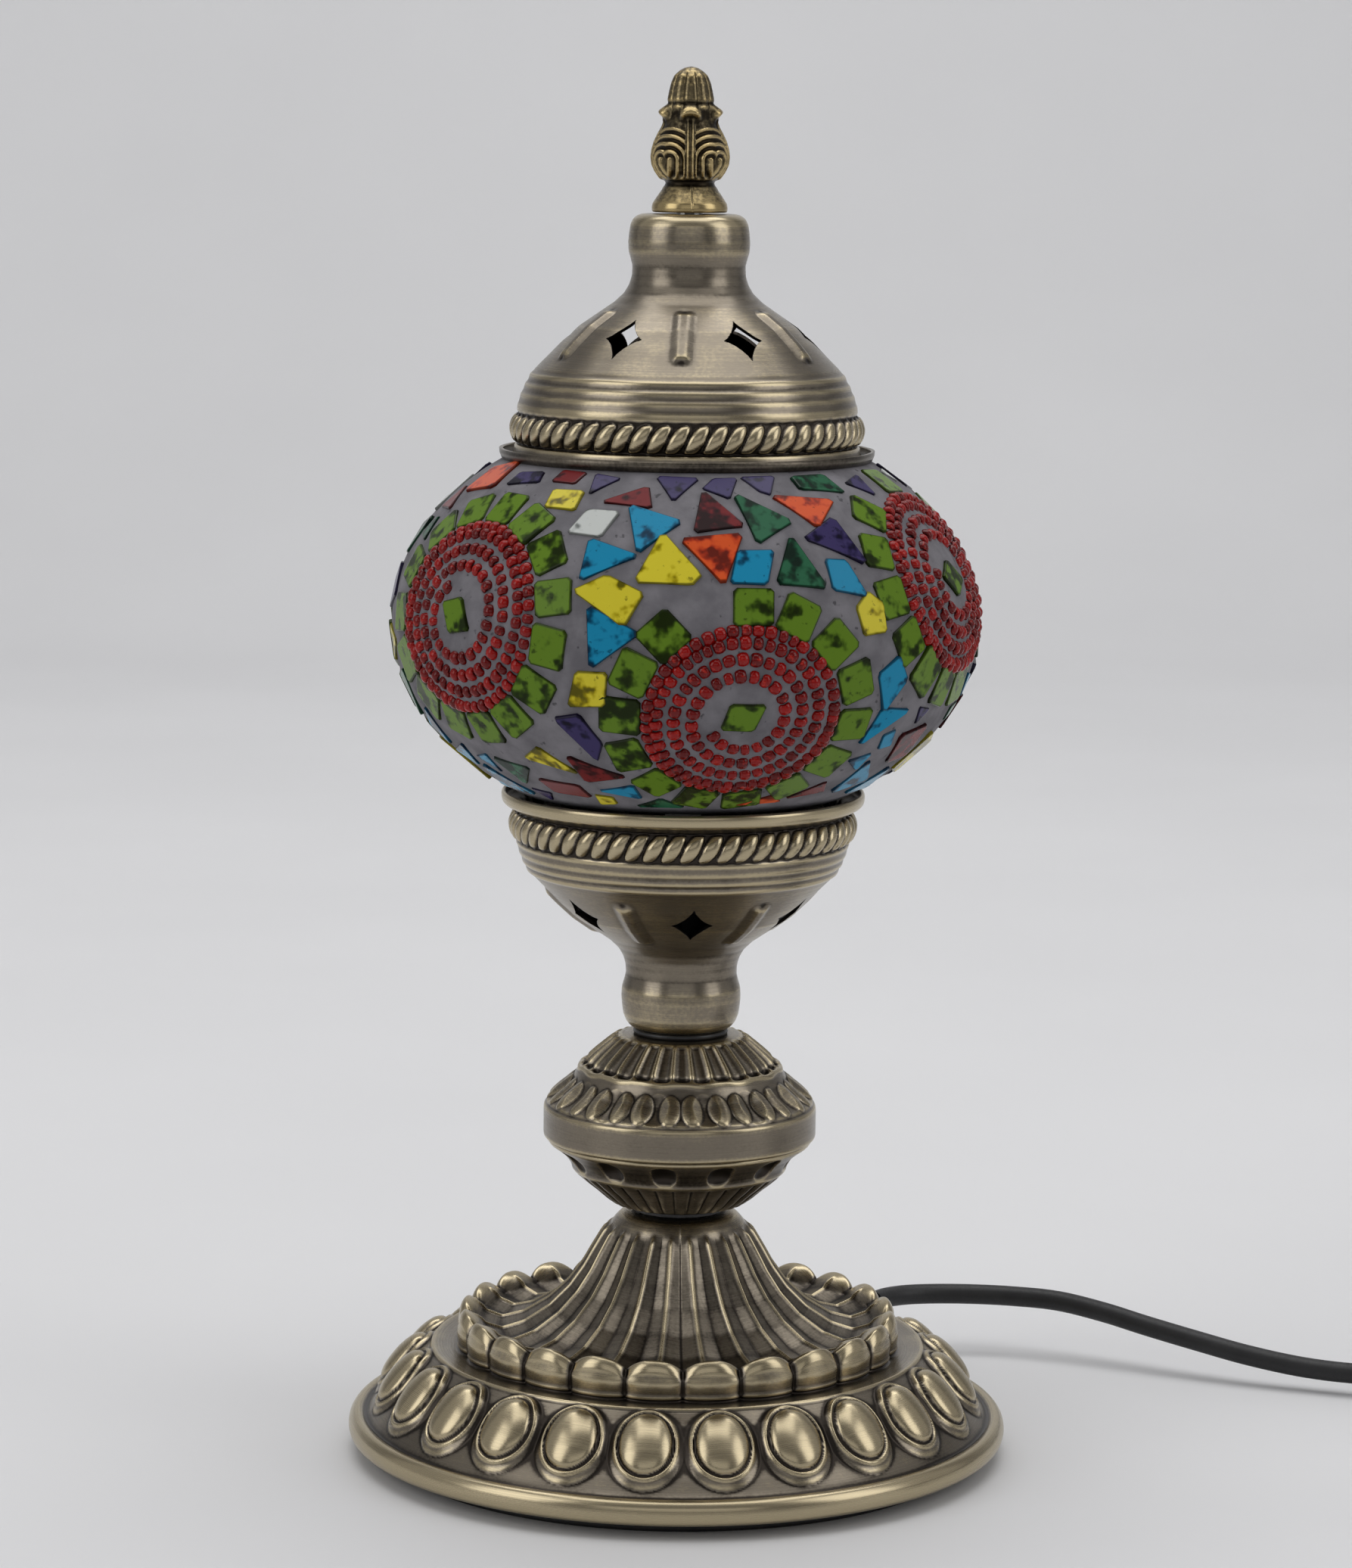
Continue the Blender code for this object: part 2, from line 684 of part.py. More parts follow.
def coil_middle():
    """The coil's middle: the link runs straight from the switch on to the coil's outermost turn."""
    touch = SWITCH_START + SWITCH_HEADING * (SWITCH_SIZE.x + LINK_LENGTH)
    right = Vector((SWITCH_HEADING.y, -SWITCH_HEADING.x, 0.0))
    return Vector((touch.x, touch.y, 0.0)) + right * COIL_OUTER_R


def make_cord():
    tube("cord_run", CORD_RUN, BLACK_RUBBER)
    link_start = SWITCH_START + SWITCH_HEADING * (SWITCH_SIZE.x + 3 * GAP)
    coil = coil_middle()
    link_end = SWITCH_START + SWITCH_HEADING * (SWITCH_SIZE.x + LINK_LENGTH - CLEAR_OF_COIL)
    link_end.z = COIL_FLOOR + CORD_D / 2 + 1.2
    middle = (link_start + link_end) / 2
    tube("cord_link", [link_start, middle, link_end], BLACK_RUBBER, CORD_D)

    outer_r = COIL_OUTER_R + CORD_D / 2 + 0.2
    inner_r = COIL_INNER_R - CORD_D / 2 - 1.4
    top = COIL_FLOOR + 2 * CORD_D + 0.3
    shape = bmesh.new()
    turned_into(shape, [(inner_r, top), (outer_r, top), (outer_r, COIL_FLOOR), (inner_r, COIL_FLOOR)], 36)
    bmesh.ops.translate(shape, verts=shape.verts, vec=coil)
    add_object("cord_coil", shape, BLACK_RUBBER)

    tie_height = top - COIL_FLOOR
    tie_middle = coil + Vector(((inner_r + outer_r) / 2, 0.0, COIL_FLOOR + tie_height / 2))
    rings = []
    for y in (-3.0, 3.0):
        for margin in (GAP, GAP + 0.5):
            half = Vector(((outer_r - inner_r) / 2 + margin + 0.4, 0, tie_height / 2 + margin))
            corners = [(1, 1), (-1, 1), (-1, -1), (1, -1)]
            rings.append([tie_middle + Vector((half.x * u, y, half.z * v)) for u, v in corners])
    shape = bmesh.new()
    loft_into(shape, [rings[0], rings[1], rings[3], rings[2]])
    add_object("coil_tie", shape, BLACK_PLASTIC)

    tail_y = coil.y - COIL_OUTER_R
    tail_start = coil.x - CLEAR_OF_COIL
    tail_z = COIL_FLOOR + 1.5 * CORD_D + 0.1
    tail = [(tail_start, tail_y - 0.2, tail_z - 0.6), (PLUG_CORD_X + GAP, tail_y - 0.2, PLUG_Z)]
    tube("cord_tail", tail, BLACK_RUBBER, CORD_D)

    along_minus_x = Matrix.Rotation(-TAU / 4, 4, "Y")
    seat = Matrix.Translation((PLUG_CORD_X, tail_y - 0.2, PLUG_Z)) @ along_minus_x
    sections = [(0.0, 3.1, 3.1), (12.0, 4.4, 4.2), (13.0, 10.0, 6.6), (17.0, 13.0, 7.2), (44.0, 13.0, 7.2)]
    rings = []
    for along, half_wide, half_tall in sections:
        ring = []
        for i in range(12):
            angle = TAU * (i + 0.5) / 12
            ring.append((half_tall * math.sin(angle), half_wide * math.cos(angle), along))
        rings.append(ring)
    plug = bar(rings)
    bmesh.ops.transform(plug, matrix=seat, verts=plug.verts)
    add_object("plug_body", plug, BLACK_PLASTIC)
    face = sections[-1][0] + GAP
    for number, side in enumerate((-PIN_SPACING / 2, PIN_SPACING / 2), start=1):
        ends = [ring_points(PIN_R, height, 10) for height in (face, face + PIN_LENGTH)]
        pin = bar([[(x, y + side, z) for x, y, z in end] for end in ends])
        bmesh.ops.transform(pin, matrix=seat, verts=pin.verts)
        add_object(f"plug_pin_{number}", pin, BRASS_GOLD)

    tube("inner_cable", INNER_CABLE, BLACK_RUBBER)


def main():
    for existing in list(bpy.data.objects):
        bpy.data.objects.remove(existing)
    make_base()
    make_stem()
    make_lampholder()
    make_bulb()
    make_globe()
    make_cap()
    make_switch()
    make_cord()


main()
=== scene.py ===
"""Looks of the mosaic glass table lamp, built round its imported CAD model.

Shapes are worked out in millimetres and become metres when a mesh is made. Azimuths are degrees from the
lamp's front (-Y) towards +X, unless a name says otherwise.
"""

import json
import math
import random

import bmesh
import bpy
import numpy as np
from mathutils import Matrix, Vector

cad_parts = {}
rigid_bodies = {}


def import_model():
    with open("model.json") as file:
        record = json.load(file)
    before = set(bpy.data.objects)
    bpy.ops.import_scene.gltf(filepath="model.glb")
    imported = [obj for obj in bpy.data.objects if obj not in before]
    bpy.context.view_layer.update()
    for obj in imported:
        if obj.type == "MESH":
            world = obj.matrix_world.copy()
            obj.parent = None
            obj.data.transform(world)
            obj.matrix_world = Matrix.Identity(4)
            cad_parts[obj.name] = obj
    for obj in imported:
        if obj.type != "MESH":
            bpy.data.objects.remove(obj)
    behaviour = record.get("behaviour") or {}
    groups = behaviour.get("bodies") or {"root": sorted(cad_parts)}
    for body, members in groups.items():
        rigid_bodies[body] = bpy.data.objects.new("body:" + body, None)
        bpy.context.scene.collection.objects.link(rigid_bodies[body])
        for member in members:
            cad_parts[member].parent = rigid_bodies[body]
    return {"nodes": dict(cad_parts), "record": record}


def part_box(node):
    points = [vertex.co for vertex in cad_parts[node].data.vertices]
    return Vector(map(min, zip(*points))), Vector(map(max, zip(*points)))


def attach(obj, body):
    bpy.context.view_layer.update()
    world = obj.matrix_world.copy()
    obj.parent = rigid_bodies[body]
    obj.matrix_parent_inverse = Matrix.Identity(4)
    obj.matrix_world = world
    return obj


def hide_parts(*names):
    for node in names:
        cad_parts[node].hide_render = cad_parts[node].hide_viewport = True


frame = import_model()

MM = 0.001
TAU = 2 * math.pi
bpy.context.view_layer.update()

# Sizes that come from the CAD model
KNOB_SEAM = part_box("knob_upper_shell")[0].z / MM
CUP_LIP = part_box("lower_cup")[1].z / MM - 0.2
CAP_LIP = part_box("top_cap")[0].z / MM + 0.2
GLOBE_MID = (CUP_LIP + CAP_LIP) / 2
MOSAIC_MID = GLOBE_MID + 0.6  # the mosaic is a little thicker on top
GLOBE_R = 67.9  # over the beads
GLOBE_HALF = 48.2
SHEET = 0.8  # the pressed brass
LOBES = 24
LOBE_AZIMUTH = 9.0  # of one lobe's crest, from +X
CORD_D = 5.0


# ---------------------------------------------------------------- meshes


def linked(name, data):
    """A new object in the scene."""
    made = bpy.data.objects.new(name, data)
    bpy.context.scene.collection.objects.link(made)
    return made


def settle(piece, body, slot, *nodes):
    """Mount a piece on its body in place of its CAD nodes, which it hides; the slot is not used."""
    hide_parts(*nodes)
    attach(piece, body)
    return piece


def set_values(mesh, values):
    """Store named numbers, one for each point."""
    for key, value in values.items():
        layer = mesh.attributes.new(key, "FLOAT", "POINT")
        layer.data.foreach_set("value", np.ascontiguousarray(value, np.float32).ravel())


def mesh_object(name, points, faces, material, smooth=True):
    """An object from points in millimetres and faces as lists of point numbers."""
    mesh = bpy.data.meshes.new(name)
    mesh.from_pydata([tuple(p) for p in np.asarray(points, float) * MM], [], [tuple(f) for f in faces])
    mesh.validate()
    if smooth:
        mesh.shade_smooth()
    mesh.materials.append(material)
    return linked(name, mesh)


def grid_faces(rings, segments, wrap):
    """The quads between a stack of closed rings, and each corner's place round and along the stack."""
    rows = np.arange(rings if wrap else rings - 1)
    i, j = np.meshgrid(rows, np.arange(segments), indexing="ij")
    i, j = i.ravel(), j.ravel()
    here, below, beside = i * segments, (i + 1) % rings * segments, (j + 1) % segments
    quads = np.stack([here + j, below + j, below + beside, here + beside], 1)
    return quads, i, j


def grid_object(name, points, material, wrap, values=None):
    """A closed mesh from a (rings, segments, 3) array; ends that don't wrap are filled."""
    rings, segments = points.shape[:2]
    quads, i, j = grid_faces(rings, segments, wrap)
    last = (rings - 1) * segments
    ends = [] if wrap else [list(range(segments)), list(range(last, last + segments))[::-1]]
    mesh = bpy.data.meshes.new(name)
    loops = np.concatenate([quads.ravel()] + [np.array(end) for end in ends]).astype(np.int32)
    sizes = np.array([4] * len(quads) + [segments] * len(ends), np.int32)
    starts = np.concatenate([[0], np.cumsum(sizes)[:-1]]).astype(np.int32)
    mesh.vertices.add(rings * segments)
    mesh.vertices.foreach_set("co", (points * MM).astype(np.float32).ravel())
    mesh.loops.add(len(loops))
    mesh.loops.foreach_set("vertex_index", loops)
    mesh.polygons.add(len(sizes))
    mesh.polygons.foreach_set("loop_start", starts)
    mesh.update(calc_edges=True)
    mesh.validate()
    mesh.shade_smooth()
    uv = mesh.uv_layers.new(name="UVMap")
    step = np.linalg.norm(np.diff(points[:, 0], axis=0), axis=1)
    along = np.concatenate([[0.0], np.cumsum(step), [step.sum() + 1.0]]) / 100.0
    here, there = along[i], along[i + 1]
    corners = np.stack([j, here, j, there, j + 1, there, j + 1, here], 1).astype(np.float32)
    corners[:, 0::2] /= segments
    flat = np.zeros(len(loops) * 2, np.float32)
    flat[: corners.size] = corners.ravel()
    uv.data.foreach_set("uv", flat)
    set_values(mesh, values or {})
    mesh.materials.append(material)
    return linked(name, mesh)


def blurred(grid, reach_along, reach_round):
    """A (rings, segments, ...) array averaged over a window, wrapping round the axis."""
    result = grid
    for _ in range(2):
        total = sum(np.roll(result, k, axis=1) for k in range(-reach_round, reach_round + 1))
        result = total / (2 * reach_round + 1)
        padded = np.concatenate([result[:1]] * reach_along + [result] + [result[-1:]] * reach_along)
        total = sum(padded[k : k + len(result)] for k in range(2 * reach_along + 1))
        result = total / (2 * reach_along + 1)
    return result


class Outline:
    """A turned outline, resampled evenly with its corners rounded; marks are its own points along it."""

    def __init__(self, points, spacing=0.35, soften=0.45):
        points = np.array(points, float)
        lengths = np.hypot(*np.diff(points, axis=0).T)
        self.marks = np.concatenate([[0.0], np.cumsum(lengths)])
        count = int(round(self.marks[-1] / spacing))
        self.run = np.linspace(0.0, self.marks[-1], count + 1)
        step = self.run[1]
        reach = max(1, int(3 * soften / step))
        weights = np.exp(-0.5 * (np.arange(-reach, reach + 1) * step / soften) ** 2)
        weights /= weights.sum()
        sides = []
        for axis in (0, 1):
            line = np.interp(self.run, self.marks, points[:, axis])
            before = 2 * line[0] - line[reach:0:-1]
            after = 2 * line[-1] - line[-2 : -reach - 2 : -1]
            sides.append(np.convolve(np.concatenate([before, line, after]), weights, "valid"))
        self.r, self.z = sides
        slope_r, slope_z = np.gradient(self.r), np.gradient(self.z)
        size = np.hypot(slope_r, slope_z)
        self.normal_r, self.normal_z = -slope_z / size, slope_r / size


def lathe(name, outline, segments, material, relief=None, thickness=SHEET, inner_every=3):
    """Turn an outline and raise its relief; with a thickness it becomes a sheet, or else its ends are filled.

    The relief gives how far each point moves along the normal, outwards and upwards, and how much extra wear
    or painted light it gets.
    """
    angle = TAU * np.arange(segments) / segments
    along, angles = np.meshgrid(outline.run, angle, indexing="ij")
    column = np.ones_like(angle)[None, :]
    radius, height = outline.r[:, None] * column, outline.z[:, None] * column
    normal_r, normal_z = outline.normal_r[:, None], outline.normal_z[:, None]
    out = wider = higher = polish_and_painted_light = 0.0
    if relief:
        out, wider, higher, polish_and_painted_light = relief(outline, along, radius, angles)
    radius = np.maximum(radius + normal_r * out + wider, 0.02)
    height = height + normal_z * out + higher
    round_x, round_y = np.cos(angles), np.sin(angles)
    points = np.stack([radius * round_x, radius * round_y, height], -1)
    normal = np.stack([normal_r * round_x, normal_r * round_y, normal_z * np.ones_like(angles)], -1)
    step = outline.run[1]
    degree = segments / 360.0
    # Against the fine blur, crests come out bright as rubbed metal and hollows dark as patina; the wide blur
    # adds painted light, darkening broad hollows and deep grooves as painted shade and lifting broad bulges
    # as painted highlight.
    fine = points - blurred(points, max(1, round(0.5 / step)), max(1, round(0.9 * degree)))
    wide = points - blurred(points, max(1, round(1.6 / step)), max(1, round(2.6 * degree)))
    wear_and_painted_light = 2.3 * (fine * normal).sum(-1) + 0.30 * (wide * normal).sum(-1)
    wear_and_painted_light = np.clip(0.5 + wear_and_painted_light + polish_and_painted_light, 0.0, 1.0)
    if thickness:
        keep = list(range(len(points) - 1, -1, -inner_every))
        if keep[-1] != 0:
            keep.append(0)
        inner = points[keep] - normal[keep] * thickness
        points = np.concatenate([points, inner])
        wear_and_painted_light = np.concatenate([wear_and_painted_light, np.full(inner.shape[:2], 0.3)])
    return grid_object(name, points, material, bool(thickness), {"wear_and_painted_light": wear_and_painted_light})


def window(value, start, end, fade):
    """1 between start and end, fading to 0 over the given distance outside them."""
    rise = np.clip((value - start) / fade + 1, 0, 1)
    fall = np.clip((end - value) / fade + 1, 0, 1)
    rise, fall = rise * rise * (3 - 2 * rise), fall * fall * (3 - 2 * fall)
    return rise * fall


def hump(value, centre, width):
    return np.exp(-(((value - centre) / width) ** 2))


def dome(x, y, half_x, half_y):
    """Height of an ellipsoid of height 1 over an ellipse, and 0 outside it."""
    return np.sqrt(np.clip(1 - (x / half_x) ** 2 - (y / half_y) ** 2, 0, 1))


def repeated(angles, count, first_azimuth):
    """Each angle's signed distance in degrees to the nearest of a number of equal turns from the front."""
    pitch = 360.0 / count
    turn = (np.degrees(angles) + 90.0 - first_azimuth) / pitch
    return (turn - np.round(turn)) * pitch


# ---------------------------------------------------------------- materials


class Shader:
    """A Principled material with short ways to add the nodes it is made from."""

    def __init__(self, name, roughness=0.5, metallic=0.0, **constants):
        self.material = bpy.data.materials.new(name)
        self.material.use_nodes = True
        self.tree = self.material.node_tree
        self.out = self.tree.nodes["Principled BSDF"]
        self.out.inputs["Roughness"].default_value = roughness
        self.out.inputs["Metallic"].default_value = metallic
        for key, value in constants.items():
            self.out.inputs[key.replace("_", " ")].default_value = value

    def node(self, kind, inputs=None, **settings):
        """A new node with its settings, and its inputs linked to outputs or set to constants."""
        made = self.tree.nodes.new(kind)
        for key, value in settings.items():
            setattr(made, key, value)
        for key, value in (inputs or {}).items():
            self.link(value, made.inputs[key])
        return made

    def link(self, source, target):
        if hasattr(source, "is_output"):
            self.tree.links.new(source, target)
        else:
            target.default_value = source

    def attribute(self, name):
        return self.node("ShaderNodeAttribute", attribute_name=name).outputs["Fac"]

    def place(self, scale=(1, 1, 1), kind="Object"):
        """Object or UV coordinates, scaled."""
        source = self.node("ShaderNodeTexCoord").outputs[kind]
        return self.node("ShaderNodeMapping", {"Vector": source, "Scale": scale}).outputs["Vector"]

    def noise(self, vector, scale, detail=3.0, roughness=0.55):
        inputs = {"Vector": vector, "Scale": scale, "Detail": detail, "Roughness": roughness}
        return self.node("ShaderNodeTexNoise", inputs).outputs["Fac"]

    def math(self, operation, a, b=0.0):
        return self.node("ShaderNodeMath", {0: a, 1: b}, operation=operation).outputs[0]

    def span(self, value, low, high, to_low=0.0, to_high=1.0):
        """The value mapped smoothly from one span to another."""
        inputs = {"Value": value, "From Min": low, "From Max": high, "To Min": to_low, "To Max": to_high}
        return self.node("ShaderNodeMapRange", inputs, interpolation_type="SMOOTHSTEP").outputs["Result"]

    def blend(self, share, a, b):
        """One colour or node output faded into another."""
        a, b = ((*colour, 1.0) if isinstance(colour, tuple) else colour for colour in (a, b))
        made = self.node("ShaderNodeMix", {"Factor": share, "A": a, "B": b}, data_type="RGBA")
        return made.outputs["Result"]

    def bump(self, height, strength, distance=0.0002, normal=None):
        inputs = {"Strength": strength, "Distance": distance, "Height": height}
        if normal:
            inputs["Normal"] = normal
        return self.node("ShaderNodeBump", inputs).outputs["Normal"]

    def finish(self, colour, roughness=None, normal=None):
        for source, key in ((colour, "Base Color"), (roughness, "Roughness"), (normal, "Normal")):
            if source is not None:
                self.link(source, self.out.inputs[key])
        return self.material


def brass(name, dark, middle, bright, wear_from=0.42, wear_to=0.72, brushing=1.0, grain=0.25):
    """Antique brass: dark patina and painted shade in recesses, rubbed bright crests and painted highlights,
    with fine rings of brushing.
    """
    shader = Shader(name, metallic=1.0, Anisotropic=0.35, Anisotropic_Rotation=0.25)
    tangent = shader.node("ShaderNodeTangent", direction_type="RADIAL", axis="Z")
    shader.link(tangent.outputs["Tangent"], shader.out.inputs["Tangent"])
    rings = shader.place((1.5, 260.0, 1.0), "UV")
    fine_rings = shader.place((5.0, 900.0, 1.0), "UV")
    broad = shader.noise(rings, 1.0, 4.0, 0.65)
    fine = shader.noise(fine_rings, 1.0, 2.0, 0.6)
    cloud = shader.noise(shader.place(), 90.0, 3.0)
    speck = shader.noise(shader.place(), 1400.0, 2.0)
    # This value mixes real patina and wear with painted shade and painted highlights from the relief.
    wear_and_painted_light = shader.attribute("wear_and_painted_light")
    shifted = shader.math("ADD", wear_and_painted_light, shader.span(broad, 0.3, 0.7, -0.11 * brushing, 0.11 * brushing))
    shifted = shader.math("ADD", shifted, shader.span(cloud, 0.3, 0.7, -0.04, 0.04))
    shifted = shader.math("ADD", shifted, shader.span(speck, 0.3, 0.7, -grain * 0.12, grain * 0.12))
    body = shader.blend(shader.span(shifted, wear_from - 0.26, wear_from + 0.05), dark, middle)
    colour = shader.blend(shader.span(shifted, wear_from + 0.05, wear_to), body, bright)
    roughness = shader.span(shifted, 0.15, 0.75, 0.34, 0.27)
    roughness = shader.math("ADD", roughness, shader.span(fine, 0.3, 0.7, -0.05, 0.05))
    normal = shader.bump(fine, 0.10 * brushing, 0.0001)
    normal = shader.bump(speck, grain * 0.25, 0.0001, normal)
    return shader.finish(colour, roughness, normal)


def tile_glass(name, deep, body, light):
    """Cut coloured glass: bright where it is well bedded and dark in spots, with painted shade along its cut
    edges.
    """
    shader = Shader(name, 0.22, 0.0, Specular_IOR_Level=0.12, IOR=1.45)
    tint = shader.attribute("tint")
    place = shader.node("ShaderNodeVectorMath", operation="ADD")
    shader.link(shader.place(), place.inputs[0])
    shader.link(tint, place.inputs[1])
    place = place.outputs["Vector"]
    bedding = shader.noise(place, 240.0, 2.5, 0.5)
    spots = shader.noise(place, 620.0, 3.0, 0.6)
    mottle = shader.math("ADD", bedding, shader.span(tint, 0.0, 1.0, -0.06, 0.06))
    colour = shader.blend(shader.span(mottle, 0.40, 0.52), body, light)
    colour = shader.blend(shader.span(mottle, 0.46, 0.34, 0.0, 0.85), colour, deep)
    colour = shader.blend(shader.span(spots, 0.62, 0.72, 0.0, 0.6), colour, deep)
    # Painted shade along the cut edges and sides.
    colour = shader.blend(shader.span(shader.attribute("edge"), 0.2, 1.0, 0.0, 0.8), colour, deep)
    normal = shader.bump(shader.noise(place, 180.0, 2.0), 0.12, 0.0004)
    return shader.finish(colour, None, normal)


def bead_glass():
    shader = Shader("red_bead_glass", 0.07, 0.0, Specular_IOR_Level=0.30, IOR=1.48)
    tint = shader.attribute("tint")
    # The inside of the hole and the bead's ends are darkened as painted shade.
    hole_shade = shader.span(shader.attribute("edge"), 0.0, 1.0)
    colour = shader.blend(shader.span(tint, 0.0, 1.0), (0.105, 0.001, 0.001), (0.27, 0.003, 0.002))
    colour = shader.blend(hole_shade, colour, (0.035, 0.0, 0.001))
    # Bright specks painted in as glints inside the glass; the same noise also ripples the surface.
    glints_and_ripples = shader.noise(shader.place(), 900.0, 2.0)
    colour = shader.blend(shader.span(glints_and_ripples, 0.55, 0.75, 0.0, 0.5), colour, (0.60, 0.035, 0.02))
    normal = shader.bump(glints_and_ripples, 0.08, 0.0002)
    return shader.finish(colour, None, normal)


def grout_plaster():
    shader = Shader("grey_grout_plaster", 0.85)
    clouds = shader.noise(shader.place(), 120.0, 4.0)
    grains = shader.noise(shader.place(), 1500.0, 3.0, 0.7)
    pits = shader.noise(shader.place(), 420.0, 2.0)
    colour = shader.blend(shader.span(clouds, 0.3, 0.7), (0.115, 0.110, 0.122), (0.190, 0.182, 0.198))
    colour = shader.blend(shader.span(pits, 0.66, 0.74, 0.0, 0.7), colour, (0.025, 0.024, 0.028))
    height = shader.math("SUBTRACT", grains, shader.span(pits, 0.64, 0.74))
    return shader.finish(colour, None, shader.bump(height, 0.35, 0.0002))


def clear_glass():
    shader = Shader("clear_blown_glass", 0.03, 0.0, Transmission_Weight=1.0, IOR=1.46)
    waves = shader.noise(shader.place(), 45.0, 2.0)
    colour = shader.blend(shader.span(waves, 0.3, 0.7), (0.86, 0.90, 0.90), (0.9116, 0.954, 0.954))
    return shader.finish(colour, None, shader.bump(waves, 0.05, 0.0004))


def plated_steel():
    shader = Shader("zinc_plated_steel", metallic=1.0)
    clouds = shader.noise(shader.place(), 160.0, 4.0)
    scratches = shader.noise(shader.place((60.0, 60.0, 2400.0)), 1.0, 2.0)
    colour = shader.blend(shader.span(clouds, 0.3, 0.7), (0.46, 0.46, 0.44), (0.68, 0.68, 0.66))
    roughness = shader.span(scratches, 0.3, 0.7, 0.26, 0.42)
    return shader.finish(colour, roughness, shader.bump(scratches, 0.08, 0.0001))


def moulded(name, dark, light, roughness=0.45, grain=2200.0, strength=0.12):
    """Moulded plastic, rubber or ceramic: a slight cloud of colour and a fine surface texture."""
    shader = Shader(name, roughness)
    clouds = shader.noise(shader.place(), 70.0, 3.0)
    texture = shader.noise(shader.place(), grain, 3.0, 0.6)
    colour = shader.blend(shader.span(clouds, 0.3, 0.7), dark, light)
    rough = shader.span(texture, 0.3, 0.7, roughness - 0.07, roughness + 0.07)
    return shader.finish(colour, rough, shader.bump(texture, strength, 0.0001))


PATINA = (0.038, 0.032, 0.027), (0.215, 0.186, 0.146), (0.45, 0.38, 0.25)  # dark, middle and bright metal; the dark also stands for painted shade and the bright for painted highlights
GOLD_PATINA = (0.022, 0.017, 0.011), (0.130, 0.104, 0.060), (0.44, 0.34, 0.17)
CLEAN_BRASS = (0.30, 0.20, 0.08), (0.55, 0.42, 0.20), (0.68, 0.55, 0.30)
BRASS = brass("antique_brass_patina", *PATINA, brushing=0.28)
GOLD = brass("gold_brass_patina", *GOLD_PATINA, 0.44, 0.74, 0.2, 0.6)
CONTACT_BRASS = brass("plain_brass", *CLEAN_BRASS, 0.30, 0.60, 0.5)
STEEL = plated_steel()
RUBBER = moulded("black_cable_rubber", (0.006, 0.006, 0.007), (0.014, 0.014, 0.015), 0.52, 1600.0)
PLASTIC = moulded("black_moulded_plastic", (0.008, 0.008, 0.009), (0.018, 0.018, 0.019), 0.38, 3000.0, 0.08)
CERAMIC = moulded("white_steatite", (0.62, 0.60, 0.55), (0.78, 0.76, 0.71), 0.30, 900.0, 0.06)
FILAMENT = moulded("yellow_phosphor", (0.62, 0.40, 0.05), (0.88, 0.62, 0.14), 0.6, 1800.0)
GROUT = grout_plaster()
BEADS = bead_glass()
GLASS = clear_glass()


# ---------------------------------------------------------------- stage


def make_camera():
    """The camera stands about a metre in front, level with the finial's foot, and looks slightly down."""
    data = bpy.data.cameras.new("camera")
    data.sensor_width = 36.0
    data.lens = 105.9
    camera = linked("camera", data)
    tilt_down, roll = math.radians(8.25), math.radians(0.62)
    turn = Matrix.Rotation(TAU / 4 - tilt_down, 4, "X") @ Matrix.Rotation(roll, 4, "Z")
    camera.matrix_world = Matrix.Translation((-0.00167, -1.049, 0.3085)) @ turn
    bpy.context.scene.camera = camera


def soft_light(name, place, target, size, power):
    data = bpy.data.lights.new(name, "AREA")
    data.shape = "RECTANGLE"
    data.size, data.size_y = size
    data.energy = power
    light = linked(name, data)
    light.location = place
    light.rotation_euler = (Vector(target) - Vector(place)).to_track_quat("-Z", "Y").to_euler()


